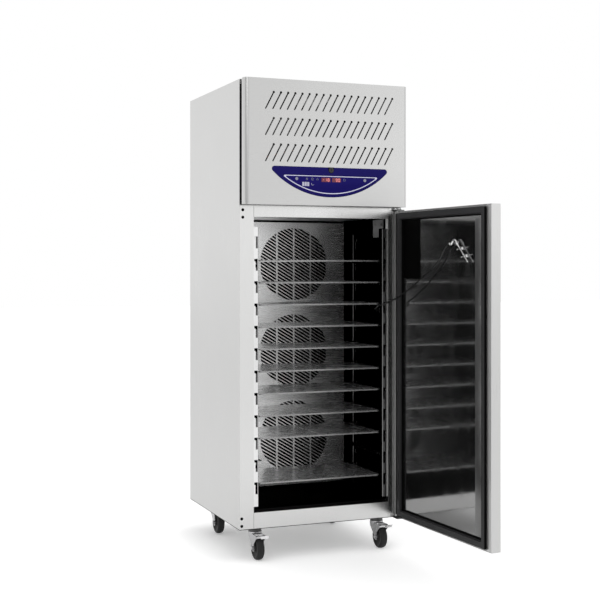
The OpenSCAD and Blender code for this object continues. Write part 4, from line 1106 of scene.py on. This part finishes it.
class CHILLER_OT_door(bpy.types.Operator):
    """Finishes the door's skin, inner sheet and pull"""

    bl_idname = "chiller.door"
    bl_label = "Door"

    def execute(self, context):
        group = context.scene.chiller_finishes
        sheet = tuple(group.sheet)
        bright = tuple(group.bright)
        wear("door_skin", brushed_sheet("door sheet", sheet, group.sheet_roughness, "z"))
        pull_sheet = brushed_sheet("pull sheet", sheet, 0.30, "z", 0.06, 0.85)
        inner = polished_sheet(
            "door inner sheet", shade(bright, 0.80), 0.08, (0.3, 0.3, 0.3), 0.985
        )
        wear("door_liner", inner)

        # Pull along the free edge: a flat lip over the finger groove, a square nose with small
        # round corners, and the web in front of the groove
        nose, outer = HINGE_X - 0.726, DOOR_INNER_Y - 0.044
        lip, web, body = HINGE_X - 0.6948, outer + 0.014, HINGE_X - 0.6944
        outline = np.vstack(
            [
                arc(nose + 0.003, outer + 0.003, 0.003, 180, 270, 5),
                [(body, outer), (body, web), (lip - 0.004, web)],
                [(lip - 0.004, DOOR_INNER_Y - 0.0022), (lip, DOOR_INNER_Y - 0.0022)],
                [(lip, DOOR_INNER_Y)],
                arc(nose + 0.002, DOOR_INNER_Y - 0.002, 0.002, 90, 180, 5),
            ]
        )
        pull = turn_open(post("pull_profile", outline, DOOR_LOW, DOOR_TOP, 0.0003))
        dress(pull, "door", pull_sheet)
        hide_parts("door_pull")

        # Cove along the free side of the well: off(t) = 8 + 5.6 s^2 mm from the pressed face up
        share = np.linspace(0.0, 1.0, 14)
        along = 0.606 + 0.050 * share
        cove = np.vstack(
            [
                np.column_stack([HINGE_X - along, WELL_Y + 0.0001 + 0.0056 * share**2]),
                [(HINGE_X - 0.656, WELL_Y - 0.0004), (HINGE_X - 0.606, WELL_Y - 0.0004)],
            ]
        )
        cove = turn_open(post("well_cove", cove, DOOR_LOW + 0.045, DOOR_TOP - 0.052))
        cove_sheet = brushed_sheet("cove sheet", (0.34, 0.34, 0.34), 0.30, "z")
        dress(cove, "door", cove_sheet)

        # Plain black plate on the well, near the hinge
        plate_low, plate_high = 1.182, 1.441
        plate_in, plate_out = HINGE_X - 0.190, HINGE_X - 0.049
        plate = slab(
            "door_plate",
            round_corners(plate_in, plate_out, plate_low, plate_high, 0.004),
            WELL_Y - 0.0001, WELL_Y + 0.0012, 0.0003,
        )
        turn_open(plate)
        plate_paint = moulding("door plate", (0.0015, 0.0015, 0.0015), 0.5, gloss=0.02)
        dress(plate, "door", plate_paint)
        return {"FINISHED"}


def frame_sweep(name, profile, half_width, low, high):
    """A profile carried round an upright rectangle with mitred corners: the profile's first
    number moves a point outwards from the rectangle's line, the second off the door."""
    profile = np.asarray(profile, float)
    out, off = profile[:, 0], profile[:, 1]
    corner_x = np.array([-1.0, 1.0, 1.0, -1.0])[:, None]
    corner_z = np.array([-1.0, -1.0, 1.0, 1.0])[:, None]
    x = corner_x * (half_width + out)
    z = np.where(corner_z < 0, low, high) + corner_z * out
    y = np.broadcast_to(DOOR_INNER_Y + off, x.shape)
    points = open_door(np.stack([x, y, z], axis=-1))
    faces = grid_faces(4, len(profile), close_rows=True, close_columns=True)
    return outward(mesh_piece(name, points, faces, smooth=False))


class CHILLER_OT_seal(bpy.types.Operator):
    """Makes the door seal, mitred at the corners, with its outer fold, hinge-side tail and lip;
    fold, tail and lip are dark strips of painted shade
    """

    bl_idname = "chiller.seal"
    bl_label = "Seal"

    def execute(self, context):
        half = SEAL_WIDTH / 2
        line = HINGE_X - 0.016 - half
        low = DOOR_LOW + SEAL_INSET + half
        high = DOOR_TOP - SEAL_INSET - half
        profile = [
            (-half, 0.0), (-half, 0.0018), (-0.0095, 0.0030), (-0.0125, 0.0048),
            (-0.0100, 0.0064), (-0.0110, 0.0082), (-0.0105, 0.0103), (-0.0095, 0.0107),
            (0.0095, 0.0107), (0.0108, 0.0103), (0.0114, 0.0084), (0.0100, 0.0066),
            (0.0122, 0.0048), (0.0095, 0.0030), (0.0115, 0.0018), (0.0115, 0.0),
        ]
        seal = frame_sweep("door_seal", profile, line, low, high)
        tone = tuple(context.scene.chiller_finishes.seal)
        dress(seal, "door", soft_rubber("seal rubber", tone, 0.42, 1.3))
        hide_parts("door_gasket")

        # Outer fold of the seal, black in the gap beside the pull: a black sheet over the seal's
        # outer side, painted shade there
        fold = [(0.0118, 0.0001), (0.0132, 0.0001), (0.0131, 0.0012), (0.0128, 0.0100),
                (0.0114, 0.0102)]
        fold_shade = frame_sweep("seal_fold", fold, line, low, high)
        black = soft_rubber("painted shade rubber", (0.002, 0.002, 0.002), 0.6, 1.3, 0.03)
        dress(fold_shade, "door", black)
        # Painted shade: a dark flat strip on the hinge side, over the door's border
        flat = np.array([(0.012, 0.0), (0.012, 0.0006), (-0.0165, 0.0006), (-0.0165, 0.0)])
        flat = flat + (HINGE_X, DOOR_INNER_Y)
        tail = turn_open(post("seal_tail", flat, low - 0.012, high + 0.012))
        tail_shade_rubber = soft_rubber("tail shade rubber", (0.012, 0.012, 0.012), 0.5, 1.3, 0.1)
        dress(tail, "door", tail_shade_rubber)

        # Lip of the seal that covers the well's edge, near black: painted shade along the seal's
        # inner side
        lip = [
            (-0.0196, -0.0058), (-0.0194, -0.0004), (-0.0186, 0.0006), (-0.0136, 0.0010),
            (-0.0136, -0.0001), (-0.0189, -0.0001), (-0.0189, -0.0058),
        ]
        edge = frame_sweep("seal_lip", lip, line, low, high)
        dress(edge, "door", black)
        return {"FINISHED"}


class CHILLER_OT_castors(bpy.types.Operator):
    """Makes the four castor wheels and finishes their forks and brakes"""

    bl_idname = "chiller.castors"
    bl_label = "Castors"

    def execute(self, context):
        tone = tuple(context.scene.chiller_finishes.tyre)
        rubber = soft_rubber("castor tyre", tone, 0.5, 1.6)
        zinc = zinc_plate("castor zinc", (0.56, 0.56, 0.57), 0.24)
        pedal = zinc_plate("pedal zinc", (0.80, 0.80, 0.81), 0.18)
        bolts = zinc_plate("axle zinc", (0.62, 0.62, 0.63), 0.2)
        for side in ("front_left", "front_right", "rear_left", "rear_right"):
            node = f"castor_wheel_{side}"
            low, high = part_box(node)
            centre = (low + high) / 2
            # Half profile: radius and distance across, from one bearing boss to the other
            half = [
                (0.0051, 0.0175), (0.0120, 0.0175), (0.0125, 0.0165), (0.0130, 0.0115),
                (0.0300, 0.0105), (0.0345, 0.0125), (0.0375, 0.0158), (0.0425, 0.0156),
                (0.0470, 0.0128), (0.0490, 0.0085), (0.0499, 0.0),
            ]
            profile = half + [(r, -h) for r, h in half[-2::-1]]
            wheel = turned(f"tyre_{side}", profile + [half[0]], centre, "x", 72)
            dress(wheel, node, rubber)
            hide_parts(node)
            wear(f"castor_fork_{side}", zinc)
            fork_low, fork_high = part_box(f"castor_fork_{side}")
            ends = [
                bolt(f"axle end {side} {k}", (x, centre.y, centre.z), "x", 0.0085, way)
                for k, (x, way) in enumerate(((fork_low.x + 0.006, -1), (fork_high.x - 0.006, 1)))
            ]
            dress(joined(f"axle_ends_{side}", ends), f"castor_fork_{side}", bolts)
        for side in ("left", "right"):
            wear(f"brake_pedal_{side}", pedal)
        return {"FINISHED"}


# The lead's route from the gland in the right wall to the probe's ferrule, in metres
LEAD_ROUTE = np.array([
    (306, -284, 1040), (296, -285, 1040), (286, -291, 1041), (280, -303, 1046),
    (276, -320, 1053), (274, -338, 1059), (275, -354, 1064), (281, -366, 1068),
    (291, -375, 1073), (299, -388, 1079), (304, -410, 1086), (308, -440, 1096),
    (313, -473, 1108), (317, -505, 1122), (321, -540, 1138), (325, -574, 1155),
    (330, -608, 1174), (336, -641, 1192), (341, -674, 1209), (345, -704, 1224),
    (349, -728, 1240), (352, -747, 1256), (353, -763, 1273), (354, -778, 1291),
    (355, -793, 1308), (356, -806, 1319), (357, -817, 1325),
]) / 1000.0


# The probe's middle line on the closed door: metres from the hinge axis and down from the top
PROBE_LINE = np.array([
    (438, 147), (445, 152), (452, 151), (460, 143), (468, 136), (478, 134.5), (487, 139.5),
    (496, 149), (508, 161), (530, 182.3), (552, 203.6), (572, 223),
]) / 1000.0
PROBE_OFF = 0.020


def on_door(along, down, off):
    """Points of the open door from distances along it, down from its top and off its hinge
    axis."""
    along, down, off = np.broadcast_arrays(along, down, off)
    return open_door(np.stack([HINGE_X - along, HINGE_Y + off, DOOR_TOP - down], axis=-1))


def tapered(name, path, table, sides=20):
    """A tube whose radius follows a table of (share of its length, radius), with straight
    lines between the table's rows."""
    path = np.asarray(path, float)
    run = np.concatenate([[0.0], np.cumsum(np.linalg.norm(np.diff(path, axis=0), axis=1))])
    shares, radii = np.asarray(table, float).T
    keep = np.unique(np.concatenate([run, shares * run[-1]]))
    fine = np.column_stack([np.interp(keep, run, path[:, k]) for k in range(3)])
    return tube(name, fine, np.interp(keep / run[-1], shares, radii), sides)


class CHILLER_OT_probe(bpy.types.Operator):
    """Makes the probe, its spring clips and its lead with a sleeve at each end"""

    bl_idname = "chiller.probe"
    bl_label = "Food probe"

    def spring_clip(self, name, along, down):
        """Wire loop round the needle with two curled ends, on a round foot: an open ring of
        angle -50 to 230 degrees in the plane square to the needle."""
        turn = np.radians(np.linspace(128.0, 412.0, 26))
        ring = np.column_stack([0.0062 * np.cos(turn), 0.0062 * np.sin(turn)])
        left = [(-0.0105, 0.0088), (-0.0078, 0.0098), (-0.0052, 0.0078)]
        right = [(-x, y) for x, y in left[::-1]]
        wire = smooth_path(np.vstack([left, ring[1:-1], right]), 3)
        spread, rise = wire[:, 0], wire[:, 1]
        path = on_door(along + spread * 0.707, down - spread * 0.707, PROBE_OFF + rise)
        loop = tube(f"{name} loop", path, 0.0011, 10)
        foot = [
            (1e-5, -0.0062), (0.0012, -0.0064), (0.0016, -0.0090), (0.0058, -0.0094),
            (0.0066, -0.0104), (0.0066, -0.0120), (1e-5, -0.0120),
        ]
        base = turned(
            f"{name} foot", foot,
            (HINGE_X - along, HINGE_Y + PROBE_OFF, DOOR_TOP - down), "y", 24,
        )
        return joined(name, [loop, turn_open(base)])

    def execute(self, context):
        group = context.scene.chiller_probe
        steel = polished_sheet("probe steel", (0.94, 0.94, 0.94), 0.09)

        # Handle tube, knob at the needle's root and needle with a ball tip
        line = smooth_path(PROBE_LINE, 5)
        path = on_door(line[:, 0], line[:, 1], PROBE_OFF)
        probe = tapered(
            "probe_body", path,
            [
                (0.0, 0.0046), (0.02, 0.0049), (0.05, 0.0049), (0.06, 0.0041), (0.36, 0.0040),
                (0.37, 0.0050), (0.41, 0.0052), (0.42, 0.0042), (0.46, 0.0036), (0.50, 0.0024),
                (0.96, 0.0021), (0.968, 0.0028), (0.985, 0.0030), (0.997, 0.0018), (1.0, 0.0004),
            ],
        )
        dress(probe, "door", steel)
        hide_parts("food_probe")
        clips = joined(
            "spring_clips",
            [self.spring_clip(f"clip {k}", along, down)
             for k, (along, down) in enumerate(((0.515, 0.1678), (0.5464, 0.1982)))],
        )
        dress(clips, "door", steel)
        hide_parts("probe_clips")

        route = smooth_path(LEAD_ROUTE, 5)
        lead = tube("probe_lead", route, group.lead_diameter / 2, group.lead_sides)
        rubber = soft_rubber("lead rubber", (0.003, 0.003, 0.003), 0.24, 1.5, 0.5)
        lead.data.materials.append(rubber)
        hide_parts("probe_cable")
        # The fold stays close to the hinge, so the shut door keeps the lead inside
        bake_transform(lead)

        # Tapered sleeves where the lead leaves its gland and where it meets the probe
        slim = group.lead_diameter / 2 + 0.0002
        relief = tapered(
            "lead_relief", route[:11],
            [(0.0, 0.0058), (0.12, 0.0058), (0.14, 0.0052), (0.9, slim + 0.0004), (1.0, slim)],
        )
        dress(relief, "cabinet", rubber)
        boot = tapered(
            "probe_boot", route[-11:],
            [(0.0, slim), (0.1, slim + 0.0003), (0.85, 0.0050), (0.97, 0.0051), (1.0, 0.0047)],
        )
        dress(boot, "door", rubber)
        return {"FINISHED"}


# ---------------------------------------------------------------------------
# Studio
# ---------------------------------------------------------------------------


# A level camera, turned to the right, whose picture is shifted down by a share of its width
CAMERA_PLACE = (-1.960, -4.981, 1.235)
CAMERA_TURN = math.radians(21.882)
CAMERA_DROP = -0.056


def soft_lamp(name, place, target, size, power):
    """A square area lamp aimed at a point."""
    light = bpy.data.lights.new(name, "AREA")
    light.shape = "SQUARE"
    light.size = size
    light.energy = power
    made = bpy.data.objects.new(name, light)
    bpy.context.scene.collection.objects.link(made)
    made.location = place
    aim = np.asarray(target, float) - np.asarray(place, float)
    yaw = math.atan2(-aim[0], aim[1])
    tilt = math.atan2(aim[2], math.hypot(aim[0], aim[1]))
    made.rotation_euler = (math.pi / 2 + tilt, 0.0, yaw)
    return made


class CHILLER_OT_studio(bpy.types.Operator):
    """Makes the floor, the soft light and the camera"""

    bl_idname = "chiller.studio"
    bl_label = "Studio"

    def floor_paint(self, group):
        """White floor that keeps the shadow; seen and mirrored, it is lifted to white, less in a
        soft box under the cabinet, where a shadow pool is painted.
        """
        paint = Paint("studio floor", (0.90, 0.90, 0.90), 0.0, 0.9)
        camera, glossy, through = paint.rays("Camera", "Glossy", "Transmission")
        east = paint.node("ShaderNodeSeparateXYZ", None, {"Vector": paint.place}, output="X")
        north = paint.node("ShaderNodeSeparateXYZ", None, {"Vector": paint.place}, output="Y")
        # Painted shadow: a soft box under the cabinet where the floor's lift is held back
        pool = (
            paint.spread(east, -0.56, -0.34) * (1.0 - paint.spread(east, 0.22, 0.46))
            * paint.spread(north, -0.44, -0.22) * (1.0 - paint.spread(north, 0.28, 0.52))
        )
        seen = (camera + (glossy + through) * group.mirror_lift) * (1.0 - pool * group.pool)
        return paint.finish(
            Emission_Color=paint.blend(seen, (0.0, 0.0, 0.0), (1.0, 1.0, 1.0)),
            Emission_Strength=group.floor_lift,
        )

    def execute(self, context):
        group = context.scene.chiller_studio
        floor = mesh_piece(
            "studio_floor",
            30.0 * np.array([(-1, -1, 0), (1, -1, 0), (1, 1, 0), (-1, 1, 0)]), [(0, 1, 2, 3)], False
        )
        floor.data.materials.append(self.floor_paint(group))

        world = bpy.data.worlds.new("studio")
        context.scene.world = world
        world.use_nodes = True
        sky = Nodes(world.node_tree)
        camera, glossy, through = sky.rays("Camera", "Glossy", "Transmission")
        way = sky.node("ShaderNodeTexCoord", output="Generated")
        height = sky.node("ShaderNodeSeparateXYZ", None, {"Vector": way}, output="Z")
        facing = sky.node(
            "ShaderNodeVectorMath", {"operation": "DOT_PRODUCT"}, {0: way, 1: group.dusk_way},
            output="Value",
        )
        mirrored = (1.0 - sky.spread(height, 0.03, 0.7) * group.overhead_dusk) * (
            1.0 - sky.spread(facing, 0.72, 0.97) * group.room_dusk
        )
        bounced = glossy * mirrored + (1.0 - glossy) * group.world_level
        seen = camera + through
        backdrop = world.node_tree.nodes["Background"]
        backdrop.inputs["Color"].default_value = (1.0, 1.0, 1.0, 1.0)
        sky.sockets(backdrop, {"Strength": seen + (1.0 - seen) * bounced})

        power = group.lamp_level
        soft_lamp("key lamp", (-2.6, -3.6, 3.4), (0.0, 0.0, 1.0), 2.4, power)
        soft_lamp("fill lamp", (2.8, -3.8, 2.4), (0.0, -0.3, 1.0), 2.4, power * 0.2)
        soft_lamp("top lamp", (-0.4, 0.4, 4.6), (0.0, 0.0, 0.0), 2.6, power * 0.5)

        camera = bpy.data.objects.new("camera", bpy.data.cameras.new("camera"))
        context.scene.collection.objects.link(camera)
        camera.location = CAMERA_PLACE
        camera.rotation_euler = (math.pi / 2, 0.0, -CAMERA_TURN)
        camera.data.sensor_width = 36.0
        camera.data.lens = group.lens
        camera.data.shift_y = CAMERA_DROP
        context.scene.camera = camera
        context.scene.view_settings.view_transform = "Standard"
        return {"FINISHED"}


class CHILLER_PT_sidebar(bpy.types.Panel):
    """Lists the steps in the 3D view's sidebar"""

    bl_idname = "CHILLER_PT_sidebar"
    bl_label = "Blast chiller"
    bl_space_type = "VIEW_3D"
    bl_region_type = "UI"
    bl_category = "Chiller"

    def draw(self, context):
        for step in STEPS:
            self.layout.operator(step.bl_idname)


STEPS = (
    CHILLER_OT_studio,
    CHILLER_OT_probe,
    CHILLER_OT_cabinet,
    CHILLER_OT_fittings,
    CHILLER_OT_racking,
    CHILLER_OT_shelves,
    CHILLER_OT_controls,
    CHILLER_OT_door,
    CHILLER_OT_seal,
    CHILLER_OT_castors,
)
GROUPS = {
    "chiller_finishes": ChillerFinishes,
    "chiller_probe": ChillerProbe,
    "chiller_studio": ChillerStudio,
}
CLASSES = (*GROUPS.values(), *STEPS, CHILLER_PT_sidebar)


def register():
    """Adds the classes and the groups of settings."""
    for item in CLASSES:
        bpy.utils.register_class(item)
    for name, group in GROUPS.items():
        setattr(bpy.types.Scene, name, PointerProperty(type=group))


def unregister():
    """Takes them away again."""
    for name in GROUPS:
        delattr(bpy.types.Scene, name)
    for item in reversed(CLASSES):
        bpy.utils.unregister_class(item)


def corners(box):
    """A box as plain numbers."""
    return [list(corner) for corner in box]


def main():
    """Makes every piece in order."""
    register()
    for step in STEPS:
        family, action = step.bl_idname.split(".")
        getattr(getattr(bpy.ops, family), action)()


if __name__ == "__main__":
    main()
